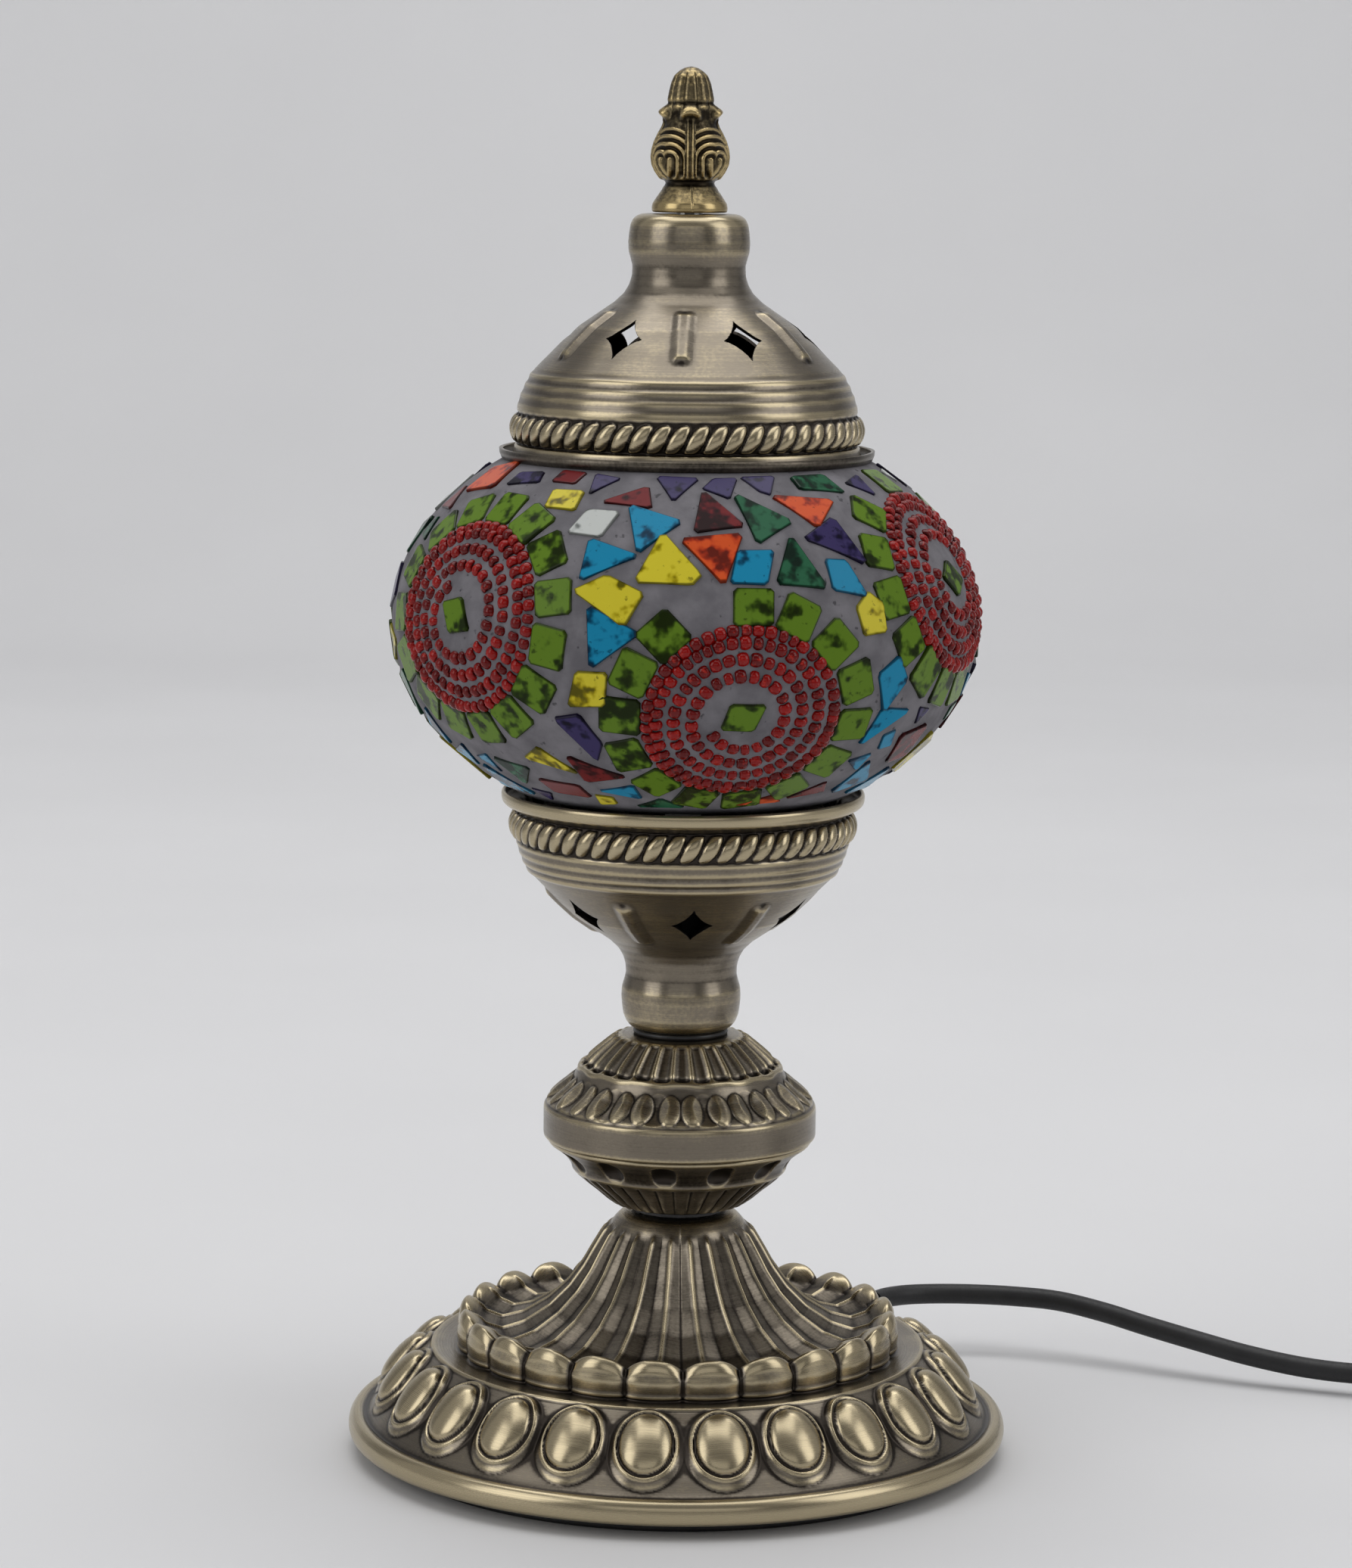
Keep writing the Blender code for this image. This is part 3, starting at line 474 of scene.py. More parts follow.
def make_stage():
    """A pale table that curves up into a backdrop, a soft room and five large soft lights."""
    shader = Shader("pale_table", 0.6)
    clouds = shader.noise(shader.place(), 3.0, 3.0)
    colour = shader.blend(shader.span(clouds, 0.2, 0.8), (0.72, 0.72, 0.73), (0.76, 0.76, 0.77))
    shader.finish(colour)
    bend, back, rise, half = 600.0, 1500.0, 3000.0, 4000.0
    profile = [(-4000.0, 0.0)]
    for i in range(25):
        angle = TAU / 4 * i / 24
        profile.append((back + bend * math.sin(angle), bend * (1 - math.cos(angle))))
    profile.append((back + bend, rise))
    points, faces = [], []
    for y, z in profile:
        points += [(-half, y, z), (half, y, z)]
    for i in range(len(profile) - 1):
        faces.append((2 * i, 2 * i + 1, 2 * i + 3, 2 * i + 2))
    table = mesh_object("table_and_backdrop", points, faces, shader.material)

    world = bpy.data.worlds.new("soft_room")
    bpy.context.scene.world = world
    world.use_nodes = True
    tree = world.node_tree
    background = tree.nodes["Background"]
    place = tree.nodes.new("ShaderNodeTexCoord")
    split = tree.nodes.new("ShaderNodeSeparateXYZ")
    tree.links.new(place.outputs["Generated"], split.inputs[0])
    ramp = tree.nodes.new("ShaderNodeValToRGB")
    reach = tree.nodes.new("ShaderNodeMapRange")
    tree.links.new(split.outputs["Y"], reach.inputs["Value"])
    reach.inputs["From Min"].default_value = -1.0
    tree.links.new(reach.outputs["Result"], ramp.inputs["Fac"])
    tree.links.new(ramp.outputs["Color"], background.inputs["Color"])
    ramp.color_ramp.elements[0].color = (0.15, 0.15, 0.155, 1)
    ramp.color_ramp.elements[1].color = (1.0, 1.0, 1.01, 1)
    background.inputs["Strength"].default_value = 0.58
    middle = (0.0, 0.0, 0.15)
    soft_light("left_soft_light", (-1.3, -0.75, 0.85), middle, (0.9, 1.3), 6.5)
    soft_light("right_soft_light", (1.35, -0.55, 0.90), middle, (0.8, 1.3), 5.5)
    soft_light("top_soft_light", (0.0, 0.1, 1.7), middle, (1.6, 1.6), 12.5)
    soft_light("front_soft_light", (0.0, -2.3, 0.95), middle, (2.4, 1.0), 4.5)
    soft_light("backdrop_light", (0.0, 0.8, 2.0), (0.0, 2.1, 0.9), (2.6, 0.8), 15.0)
    settings = bpy.context.scene.view_settings
    settings.view_transform = "Standard"
    settings.look = "None"


# ---------------------------------------------------------------- cord

CORD_RUN = [  # chosen, from the strain relief's tip to the switch
    (49.4, 76.1, 15.0), (52.6, 80.3, 14.9), (58.0, 84.4, 14.6), (65.5, 86.9, 14.3), (74.5, 87.3, 14.2),
    (85.0, 85.2, 14.3), (96.0, 81.3, 14.2), (107.0, 75.6, 12.9), (117.0, 69.9, 11.1),
    (129.0, 63.0, 9.2), (141.0, 57.0, 7.3), (154.0, 52.0, 5.8), (166.5, 47.7, 5.5), (176.0, 44.6, 6.4),
    (187.7, 40.9, 8.1),
]
EXIT_AZIMUTH = 57.0  # from +X
EXIT_HEIGHT = 15.0
SWITCH_START = Vector((188.0, 40.8, 8.15))
SWITCH_HEADING = Vector((0.956, -0.2934, 0.0)).normalized()
SWITCH_SIZE = Vector((54.0, 24.0, 17.0))
SWITCH_SEAM = 8.15  # height of its parting line
SWITCH_TIP = 5.0  # half width at its ends
LINK_LENGTH = 34.0
COIL_OUTER_R = 36.9
COIL_PITCH = 5.1
COIL_LOW = 3.4
COIL_HIGH = 8.45
PLUG_SECTIONS = [  # (distance from the cord's end, half width, half height, squareness)
    (0.0, 3.0, 3.0, 2.0), (12.0, 4.3, 4.1, 2.0), (13.2, 8.6, 6.0, 2.6), (17.0, 12.7, 7.1, 3.4),
    (30.0, 12.0, 6.9, 3.4), (40.0, 12.9, 7.1, 3.6), (43.2, 12.7, 7.0, 3.6), (44.0, 12.0, 6.4, 3.4),
]
PIN_PROFILE = [  # (distance, radius)
    (44.3, 2.0), (44.4, 2.0), (54.0, 2.0), (54.2, 1.94), (61.6, 1.94), (62.6, 1.6), (63.2, 0.9), (63.3, 0.05),
]
PLUG_CORD_X = 236.0
PLUG_Z = 7.4


def coil_middle():
    touch = SWITCH_START + SWITCH_HEADING * (SWITCH_SIZE.x + LINK_LENGTH)
    right = Vector((SWITCH_HEADING.y, -SWITCH_HEADING.x, 0.0))
    return Vector((touch.x, touch.y, 0.0)) + right * COIL_OUTER_R


def coil_points():
    """A flat coil wound inwards, then outwards on top of itself, clockwise from above."""
    middle = coil_middle()
    first = math.atan2(SWITCH_HEADING.x, -SWITCH_HEADING.y)
    quarter, inward, crossing, outward = 0.25, 3.5, 0.6, 3.5
    inner_r = COIL_OUTER_R - COIL_PITCH * inward
    last = quarter + inward + crossing + outward + 0.603
    steps = 30
    points = []
    for i in range(1, int(last * steps) + 1):
        turns = i / steps
        if turns < quarter:
            radius, height = COIL_OUTER_R, COIL_LOW
        elif turns < quarter + inward:
            radius, height = COIL_OUTER_R - COIL_PITCH * (turns - quarter), COIL_LOW
        elif turns < quarter + inward + crossing:
            share = (turns - quarter - inward) / crossing
            radius = inner_r - 1.2 * math.sin(math.pi * share)
            height = COIL_LOW + (COIL_HIGH - COIL_LOW) * share * share * (3 - 2 * share)
        else:
            radius = min(COIL_OUTER_R, inner_r + COIL_PITCH * (turns - quarter - inward - crossing))
            height = COIL_HIGH
        angle = first - TAU * turns
        points.append(middle + Vector((radius * math.cos(angle), radius * math.sin(angle), height)))
    return points


def smooth_route(points, spacing):
    """Points about a spacing apart on the Catmull-Rom curve through a route's own points."""
    route = [Vector(point) for point in points]
    route = [2 * route[0] - route[1]] + route + [2 * route[-1] - route[-2]]
    found = []
    for a, b, c, d in zip(route, route[1:], route[2:], route[3:]):
        steps = max(1, round((c - b).length / spacing))
        for i in range(steps):
            t = i / steps
            square, cube = t**2, t**3
            found.append(0.5 * (2 * b + (c - a) * t + (2 * a - 5 * b + 4 * c - d) * square))
            found[-1] += 0.5 * (3 * b - a - 3 * c + d) * cube
    return found + [route[-2]]


def cord_object(name, points, diameter, material, spacing=2.0):
    route = smooth_route(points, spacing)
    curve = bpy.data.curves.new(name, "CURVE")
    curve.dimensions = "3D"
    spline = curve.splines.new("POLY")
    spline.points.add(len(route) - 1)
    for control, point in zip(spline.points, route):
        control.co = (*(point * MM), 1.0)
    curve.bevel_depth = diameter / 2 * MM
    curve.bevel_resolution = 5
    curve.use_fill_caps = True
    curve.materials.append(material)
    return linked(name, curve)


def soft_ring(half_wide, half_tall, power_wide, power_tall, sides, first=0.0):
    """Points (across, up) round a soft-cornered box: a power of 1 makes an ellipse and 0 a rectangle."""
    points = []
    for i in range(sides):
        angle = TAU * (i + first) / sides
        c, s = math.cos(angle), math.sin(angle)
        across = half_wide * math.copysign(abs(c) ** power_wide, c)
        points.append((across, half_tall * math.copysign(abs(s) ** power_tall, s)))
    return points


def tube_object(name, sections, seat, material, sides=40):
    """A closed body lofted through superellipse sections (along, half width, half height, power)."""
    rings = []
    for along, half_wide, half_tall, power in sections:
        ring = soft_ring(half_wide, half_tall, 2 / power, 2 / power, sides)
        rings.append([seat @ Vector((along, y, z)) for y, z in ring])
    return grid_object(name, np.array(rings)[:, ::-1], material, False)


def seat_at(point, heading):
    """A matrix that lays +X along the heading from the point."""
    return Matrix.Translation(point) @ heading.to_track_quat("X", "Z").to_matrix().to_4x4()


def make_strain_relief():
    """A tapered sleeve with soft ribs, along the cord's way out of the base."""
    azimuth = math.radians(EXIT_AZIMUTH)
    heading = Vector((math.cos(azimuth), math.sin(azimuth), 0.0))
    seat = seat_at(Vector((0, 0, EXIT_HEIGHT)), heading)
    sections = []
    count = 60
    for i in range(count + 1):
        along = 62.0 + 28.0 * i / count
        radius = 3.7 - 0.75 * max(0.0, (along - 76.0) / 14.0)
        rib = 0.28 * (0.5 + 0.5 * math.cos(TAU * (along - 77.0) / 2.6)) if along > 77.0 else 0.0
        end = min(1.0, min(i, count - i) / 1.5)
        sections.append((along, (radius - rib) * (0.9 + 0.1 * end), (radius - rib) * (0.9 + 0.1 * end), 2.0))
    relief = tube_object("cord_strain_relief_sleeve", sections, seat, RUBBER)
    return settle(relief, "lamp_body", "black_rubber", "cord_strain_relief")


def make_switch():
    """An in-line rocker switch: two moulded halves with a parting line, and a dished rocker."""
    middle = SWITCH_START + SWITCH_HEADING * SWITCH_SIZE.x / 2
    half_long = SWITCH_SIZE.x / 2 - 0.2
    shares = [math.sin(TAU / 4 * i / 24) for i in range(-24, 25)]
    pieces = []
    seat = seat_at(Vector((middle.x, middle.y, 0.0)), SWITCH_HEADING)
    for node, low, high in (("switch_lower", 0.1, 8.0), ("switch_upper", 8.3, 17.0)):
        rings = []
        for share in shares:
            along = half_long * share
            blunt = (1 - abs(share) ** 6) ** (1 / 3) if abs(share) < 1 else 0.0
            half_wide = SWITCH_TIP + (SWITCH_SIZE.y / 2 - SWITCH_TIP) * blunt
            rise = 0.55 + 0.45 * blunt
            ring = []
            for y, z in soft_ring(half_wide, (high - low) / 2, 0.45, 0.35, 48, 0.5):
                z = SWITCH_SEAM + (z + (low + high) / 2 - SWITCH_SEAM) * rise
                ring.append(seat @ Vector((along, y, z)))
            rings.append(ring)
        shell = grid_object(f"{node}_shell", np.array(rings)[:, ::-1], PLASTIC, False)
        pieces.append(settle(shell, "lamp_body", "black_plastic", node))
    window_cutter = rounded_box("rocker_window", Vector((21.0, 11.4, 12.0)), 2.0, PLASTIC)
    window_cutter.matrix_world = seat_at(Vector((middle.x, middle.y, 16.0)) * MM, SWITCH_HEADING)
    boolean_cut(pieces[1], window_cutter)
    rocker = make_rocker(middle)
    return pieces + [rocker]


def make_rocker(middle):
    tilt = Matrix.Rotation(math.radians(8.0), 4, "Y")
    seat = seat_at(Vector((middle.x, middle.y, 14.0)), SWITCH_HEADING) @ tilt
    rings = []
    for i in range(41):
        along = -9.2 + 18.4 * i / 40
        top = 2.4 + 1.2 * (along / 9.2) ** 2
        low = -0.6 - 1.0 * (1 - abs(along / 9.2))
        grip = 0.18 * math.cos(TAU * along / 1.3) if 5.2 < abs(along) < 8.6 else 0.0
        end = 1 - 0.12 * max(0.0, abs(along) - 8.6) / 0.6
        ring = soft_ring(5.2 * end, (top - low) / 2 * end, 0.3, 0.4, 32, 0.5)
        ring = [(along, y, z + (top + low) / 2 + (grip if z > 0 else 0.0)) for y, z in ring]
        rings.append([seat @ Vector(point) for point in ring])
    rocker = grid_object("switch_rocker_cap", np.array(rings)[:, ::-1], PLASTIC, False)
    return settle(rocker, "rocker", "black_plastic", "switch_rocker")


def rounded_box(name, size, bevel, material):
    """A box with rounded edges, made at the world's middle with its size in millimetres."""
    shape = bmesh.new()
    bmesh.ops.create_cube(shape, size=1.0)
    bmesh.ops.scale(shape, verts=shape.verts, vec=size * MM)
    bmesh.ops.bevel(shape, geom=shape.edges[:], offset=bevel * MM, segments=4, profile=0.5, affect="EDGES")
    mesh = bpy.data.meshes.new(name)
    shape.to_mesh(mesh)
    shape.free()
    mesh.shade_smooth()
    mesh.materials.append(material)
    return linked(name, mesh)


def boolean_cut(target, tool):
    """Take the tool's shape out of the target's mesh, and delete the tool."""
    bpy.context.view_layer.update()
    modifier = target.modifiers.new("cut", "BOOLEAN")
    modifier.operation = "DIFFERENCE"
    modifier.solver = "EXACT"
    modifier.object = tool
    depsgraph = bpy.context.evaluated_depsgraph_get()
    mesh = bpy.data.meshes.new_from_object(target.evaluated_get(depsgraph))
    target.modifiers.clear()
    target.data = mesh
    bpy.data.objects.remove(tool)


def make_plug():
    """A flat two-pin plug lying beside the coil, its sleeve ribbed where the cord goes in."""
    middle = coil_middle()
    y = middle.y - COIL_OUTER_R - 0.2
    seat = seat_at(Vector((PLUG_CORD_X, y, PLUG_Z)), Vector((-1.0, 0.0, 0.0)))
    along, *shape = zip(*PLUG_SECTIONS)
    sections = []
    for i in range(89):
        place = along[-1] * i / 88
        wide, tall, power = (np.interp(place, along, values) for values in shape)
        if 1.0 < place < 12.0:
            rib = 0.45 * (0.5 - 0.5 * math.cos(TAU * place / 2.2))
            wide, tall = wide - rib, tall - rib
        if 20.0 < place < 34.0:
            wide -= 0.3 * (0.5 - 0.5 * math.cos(TAU * place / 2.0))
        sections.append((place, float(wide), float(tall), float(power)))
    body = tube_object("plug_moulding", sections, seat, PLASTIC, 56)
    pieces = [settle(body, "lamp_body", "black_plastic", "plug_body")]
    for number in (1, 2):
        low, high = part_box(f"plug_pin_{number}")
        pin_y = (low.y + high.y) / 2 / MM
        pin_seat = seat_at(Vector((PLUG_CORD_X, pin_y, PLUG_Z)), Vector((-1.0, 0.0, 0.0)))
        sections = [(along, radius, radius, 2.0) for along, radius in PIN_PROFILE]
        pin = tube_object(f"plug_pin_{number}_turned", sections, pin_seat, CONTACT_BRASS, 32)
        pieces.append(settle(pin, "lamp_body", "gold_brass", f"plug_pin_{number}"))
    return pieces


def make_tie():
    """A twist of flat wire tie round the coil's bundle."""
    low, high = (Vector(corner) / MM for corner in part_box("coil_tie"))
    middle, half = (low + high) / 2, (high - low) / 2
    rings = []
    soft, thick = 0.15, 0.45
    outside = [(low.y, soft), (low.y + 0.25, 0.0), (high.y - 0.25, 0.0), (high.y, soft)]
    for y, inset in [*outside, (high.y, thick), (low.y, thick)]:
        ring = soft_ring(half.x - inset, half.z - inset, 0.25, 0.3, 64)
        rings.append([(middle.x + x, y, middle.z + z) for x, z in ring])
    tie = grid_object("coil_tie_band", np.array(rings), PLASTIC, True)
    return settle(tie, "lamp_body", "black_plastic", "coil_tie")


def make_cord():
    relief = make_strain_relief()
    switch = make_switch()
    plug = make_plug()
    tie = make_tie()
    inside = [SWITCH_START + SWITCH_HEADING * (SWITCH_SIZE.x * share) for share in (0.25, 0.5, 0.75, 1.0)]
    link = SWITCH_START + SWITCH_HEADING * (SWITCH_SIZE.x + 12.0)
    link_end = SWITCH_START + SWITCH_HEADING * (SWITCH_SIZE.x + 23.0)
    link.z, link_end.z = 6.0, 4.2
    coil = coil_points()
    tail_y = coil_middle().y - COIL_OUTER_R - 0.2
    tail = [Vector((246.0, tail_y, 8.0)), Vector((PLUG_CORD_X - 1.0, tail_y, PLUG_Z))]
    route = [Vector(point) for point in CORD_RUN] + inside + [link, link_end] + coil + tail
    cord = cord_object("mains_cord", route, CORD_D, RUBBER)
    settle(cord, "lamp_body", "black_rubber", "cord_run", "cord_link", "cord_coil", "cord_tail")


# ---------------------------------------------------------------- metalwork

BASE_OUTLINE = [
    (5.4, 56.4), (12.0, 56.4), (13.5, 55.9), (15.1, 54.2), (17.5, 50.6), (19.6, 47.0), (21.6, 43.4),
    (25.0, 38.6), (29.8, 33.9), (35.8, 30.1), (41.3, 28.5), (45.4, 29.8), (48.2, 32.2), (49.4, 32.7),
    (50.4, 31.4), (51.2, 28.5), (50.8, 25.6), (50.4, 24.6), (51.2, 24.1), (54.2, 24.5), (57.6, 25.0),
    (61.2, 22.4), (65.2, 17.5), (69.8, 12.6), (72.2, 9.8), (73.3, 8.8), (74.2, 9.2), (75.5, 8.9),
    (76.4, 7.6), (76.7, 5.8), (76.3, 4.2), (75.2, 3.3), (73.0, 2.9), (67.2, 2.9),
]
BASE_NECK, BASE_SCALLOP, BASE_GUTTER, BASE_BOSS, BASE_GROOVE, BASE_RIM = 3, 13, 18, 21, 25, 26
EGG_CIRCLE_R = 65.7
EGG_DOWN = 5.1  # from the boss's edge to an egg's middle
EGG, EGG_RING, PETAL = (6.2, 7.7), (6.95, 8.5), (8.6, 10.4)  # half sizes


def base_relief(outline, along, radius, angles):
    """Ridged flutes that flare into scallops, and under them a ring of petals, each with a framed egg."""
    marks = outline.marks
    u = repeated(angles, LOBES, LOBE_AZIMUTH + 90.0) / (180.0 / LOBES)
    u = np.clip(u, -1, 1)
    across = u * math.pi / LOBES * radius
    fluted = window(along, marks[BASE_NECK] + 3.5, marks[BASE_SCALLOP] - 4.0, 3.2)
    tent = (1 - np.abs(u)) ** 1.15
    ridge = np.exp(-((across / 0.50) ** 2))
    out = fluted * ((0.55 + 0.018 * radius) * (tent - 0.42) + 0.34 * ridge)
    lip = window(along, marks[BASE_SCALLOP] - 1.6, marks[BASE_GUTTER] - 0.6, 2.2)
    crest = window(along, marks[BASE_SCALLOP] - 1.6, marks[BASE_SCALLOP] + 1.5, 3.0)
    higher = crest * 2.7 * ((1 - np.abs(u) ** 2.3) - 0.60)
    wider = lip * 1.9 * (np.sqrt(np.clip(1 - 0.95 * u**2, 0, 1)) - 0.74)
    out = out + 0.42 * hump(along, marks[BASE_GUTTER] - 1.6, 0.5)
    out = out + 0.12 * hump(along, marks[BASE_SCALLOP] + 2.6, 0.35) * (1 - u**2)

    across = u * math.pi / LOBES * EGG_CIRCLE_R
    down = along - (marks[BASE_BOSS] + EGG_DOWN)
    belt = window(along, marks[BASE_BOSS] - 3.9, marks[BASE_GROOVE] - 0.6, 1.0)
    petal = np.clip(1 - (across / PETAL[0]) ** 2 - ((down - 0.7) / PETAL[1]) ** 2, 0, 1) ** 0.6
    out = out + belt * 1.5 * (petal - 0.5)
    oval = np.hypot(across / EGG_RING[0], down / EGG_RING[1])
    frame_line = np.exp(-(((oval - 1.0) * 7.0 / 0.46) ** 2))
    out = out + belt * 0.55 * frame_line
    out = out - belt * 0.45 * np.exp(-(((oval - 0.90) * 7.0 / 0.34) ** 2))
    out = out + belt * 2.1 * dome(across, down, *EGG)
    front = np.degrees(angles) + 90.0
    seam = np.minimum(np.abs(front - 1.5), np.abs(front - 361.5))
    out = out - 0.12 * np.exp(-((seam / 0.4) ** 2)) * (along < marks[BASE_SCALLOP] - 8)
    polish_and_painted_light = 0.16 * window(along, marks[BASE_RIM] + 0.4, marks[BASE_RIM + 5], 0.6) + 0.10 * fluted * ridge
    polish_and_painted_light = polish_and_painted_light + 0.10 * crest * (1 - u**2) - 0.10 * fluted * (1 - ridge) + 0.06 * belt * frame_line
    return out, wider, higher, polish_and_painted_light


NECK_AND_SHOULDER = [  # (radius, height above the lip), shared by the cup and the cap
    (13.6, 51.0), (13.8, 48.8), (13.7, 46.7), (13.2, 45.0), (12.8, 43.4), (12.9, 41.2), (13.5, 39.2),
    (14.6, 37.3), (16.8, 35.2), (20.3, 32.8), (24.8, 29.7), (28.5, 26.3), (31.8, 22.9),
]
CUP_OUTLINE = [(5.4, 56.1), (9.0, 56.1), (10.4, 56.1), (11.7, 55.6), (12.7, 54.4), (13.3, 52.9)]
CUP_OUTLINE += NECK_AND_SHOULDER
CUP_OUTLINE += [  # steps, rope and a tall turned-up rim
    (34.4, 20.3), (35.0, 19.7), (35.9, 19.2), (36.2, 17.8), (36.9, 17.2), (37.1, 15.8), (37.7, 15.1),
    (37.9, 13.6), (38.3, 12.9), (38.4, 12.3), (37.9, 11.8), (38.4, 8.5), (37.9, 5.2), (38.7, 4.9),
    (39.2, 4.5), (40.0, 4.0), (41.0, 3.7), (41.6, 3.0), (41.8, 1.9), (41.7, 0.9), (41.2, 0.5),
]
CAP_OUTLINE = [(5.4, 55.0), (8.9, 55.1), (10.6, 55.1), (11.8, 54.7), (12.7, 54.0), (13.3, 52.8)]
CAP_OUTLINE += NECK_AND_SHOULDER
CAP_OUTLINE += [  # steps, rope and a lip that turns up at its edge
    (34.4, 20.3), (35.0, 19.5), (35.8, 18.9), (36.2, 17.4), (36.9, 16.7), (37.3, 15.2), (37.9, 14.4),
    (38.2, 12.8), (38.6, 12.0), (38.7, 10.6), (38.2, 9.9), (38.7, 6.6), (38.2, 3.3), (39.2, 3.0),
    (39.4, 1.7), (39.8, 0.7), (40.5, 0.1), (41.3, 0.1), (41.7, 0.6), (41.9, 1.4), (41.9, 2.1),
]
PRESSING_SHOULDER, PRESSING_STEPS, PRESSING_ROPE = 12, 19, 30
ROPE_STRANDS = 58
HALF_ROPE = 3.2
BAR_FROM_R, BAR_TO_R = 18.4, 32.4
STAR_CIRCLE_R = 26.5
STAR_HEIGHT = 27.8  # above the lip
STAR_TALL, STAR_WIDE = 6.3, 4.7  # half sizes
STAR_SLOPE = math.radians(42)
STAR_POWER = 0.78  # 1 would be a diamond; less pinches the holes into stars


def pressing_relief(bar_azimuth, lean, upward):
    """Six raised bars down the shoulder, and a rope round the lip whose strands lean one way."""

    def relief(outline, along, radius, angles):
        marks, run, run_r = outline.marks, outline.run, outline.r
        if upward < 0:
            marks, run, run_r = (marks[-1] - marks)[::-1], (run[-1] - run)[::-1], run_r[::-1]
            along = run[-1] - along
        turn = np.radians(repeated(angles, 6, bar_azimuth))
        across = turn * radius
        shoulder = (along > marks[PRESSING_SHOULDER]) & (along < marks[PRESSING_STEPS])
        widening = (run > marks[PRESSING_SHOULDER]) & (run < marks[PRESSING_STEPS])
        reach = np.interp((BAR_FROM_R, BAR_TO_R), run_r[widening], run[widening])
        middle, half = reach.mean(), (reach[1] - reach[0]) / 2
        side = np.abs(across) - 0.35
        end = np.abs(along - middle) - (half - 2.6)
        distance = np.hypot(np.maximum(side, 0), np.maximum(end, 0)) + np.minimum(np.maximum(side, end), 0)
        bar = np.clip((2.75 - distance) / 2.6, 0, 1)
        out = shoulder * 0.85 * bar * bar * (3 - 2 * bar)
        dent = np.hypot(across / 1.1, (np.abs(along - middle) - half + 1.2) / 0.9)
        out = out - shoulder * 0.35 * np.exp(-(dent**2))

        belt = along - marks[PRESSING_ROPE]
        inside = np.clip(1 - (belt / HALF_ROPE) ** 2, 0, 1)
        phase = angles * ROPE_STRANDS / TAU + lean * belt / (2.4 * HALF_ROPE)
        phase = phase - np.round(phase)
        strand = np.sqrt(np.clip(1 - (phase / 0.5) ** 2 - 0.8 * (belt / HALF_ROPE) ** 2, 0, 1))
        out = out + 0.35 * np.sqrt(inside) + 1.45 * strand
        # The gaps between rope strands are darkened as painted shade; the slightly darker rope as a whole is
        # patina.
        shaded_rope_gap = (inside > 0) * (1 - strand)
        # The outer lip is brightened as a painted highlight from the light above.
        rim = along > marks[-6]
        # The shoulder bars are darkened as a painted dark reflection and painted shade.
        polish_and_painted_light = 0.14 * rim - 0.20 * shaded_rope_gap - 0.08 * (inside > 0) - 0.14 * shoulder * bar
        return out, 0.0, 0.0, polish_and_painted_light

    return relief


KNOB_UPPER = [  # (radius, height above the seam)
    (5.4, 24.0), (12.2, 24.1), (14.2, 23.8), (15.8, 22.9), (17.6, 21.4), (19.6, 19.7), (21.4, 18.0),
    (22.2, 17.1), (23.2, 16.5), (23.9, 15.4), (24.9, 13.6), (26.5, 11.9), (28.5, 10.3), (30.5, 8.7),
    (31.3, 7.8), (31.6, 6.9), (31.6, 0.2), (31.1, -0.1),
]
KNOB_RIBS_END, KNOB_WAVE, KNOB_BAND = 7, 8, 14
KNOB_RIBS = 30


def knob_upper_relief(outline, along, radius, angles):
    """Slim ribs that end in pockets, a wavy crest, then pairs of lens-shaped bumps between broad scoops."""
    marks = outline.marks
    turn = repeated(angles, KNOB_RIBS, 1.2 + 180.0 / KNOB_RIBS)
    across = turn * math.pi / 180.0 * radius
    half_pitch = math.pi / KNOB_RIBS * radius
    ribbed = window(along, marks[2] + 1.2, marks[KNOB_RIBS_END] - 0.2, 1.2)
    rib = np.exp(-((across / (0.42 * half_pitch)) ** 2))
    out = ribbed * (0.030 * radius + 0.35) * (rib - 0.55)
    wave = np.cos(math.pi * repeated(angles, KNOB_RIBS // 2, 12.0) / 12.0)
    crest = marks[KNOB_WAVE] + 0.30 * wave
    out = out + 0.45 * hump(along, crest, 0.8) - 0.25 * hump(along, crest - 1.6, 0.6)
    pair = np.abs(repeated(angles, KNOB_RIBS // 2, 0.5))
    start, end = marks[KNOB_WAVE] + 2.6, marks[KNOB_BAND] - 0.7
    middle, half = (start + end) / 2, (end - start) / 2
    bump_x = (pair - 5.3) * math.pi / 180.0 * radius
    out = out + 0.75 * dome(bump_x, along - middle, 2.6, half)
    scoop_x = (12.0 - pair) * math.pi / 180.0 * radius
    scoop = np.clip(1 - (scoop_x / 3.1) ** 2 - ((along - middle) / (half + 0.4)) ** 2, 0, 1)
    out = out - 0.55 * scoop
    out = out - 0.22 * hump(along, marks[KNOB_BAND] - 0.2, 0.35)
    # The upright band is darkened as a painted reflection of the dark room in front.
    polish_and_painted_light = 0.10 * ribbed * (rib - 0.5) + 0.10 * hump(along, crest, 0.6) - 0.08 * (along > marks[KNOB_BAND])
    return out, 0.0, 0.0, polish_and_painted_light


KNOB_LOWER = [  # (radius, depth below the seam)
    (30.4, 0.1), (30.8, 0.4), (30.4, 1.3), (28.6, 2.5), (26.8, 4.0), (25.6, 5.6), (24.8, 7.1),
    (23.6, 8.5), (21.9, 10.0), (19.9, 11.6), (17.7, 13.6), (15.4, 15.3), (12.8, 16.2), (5.4, 16.2),
]
KNOB_DENTS_END = 6


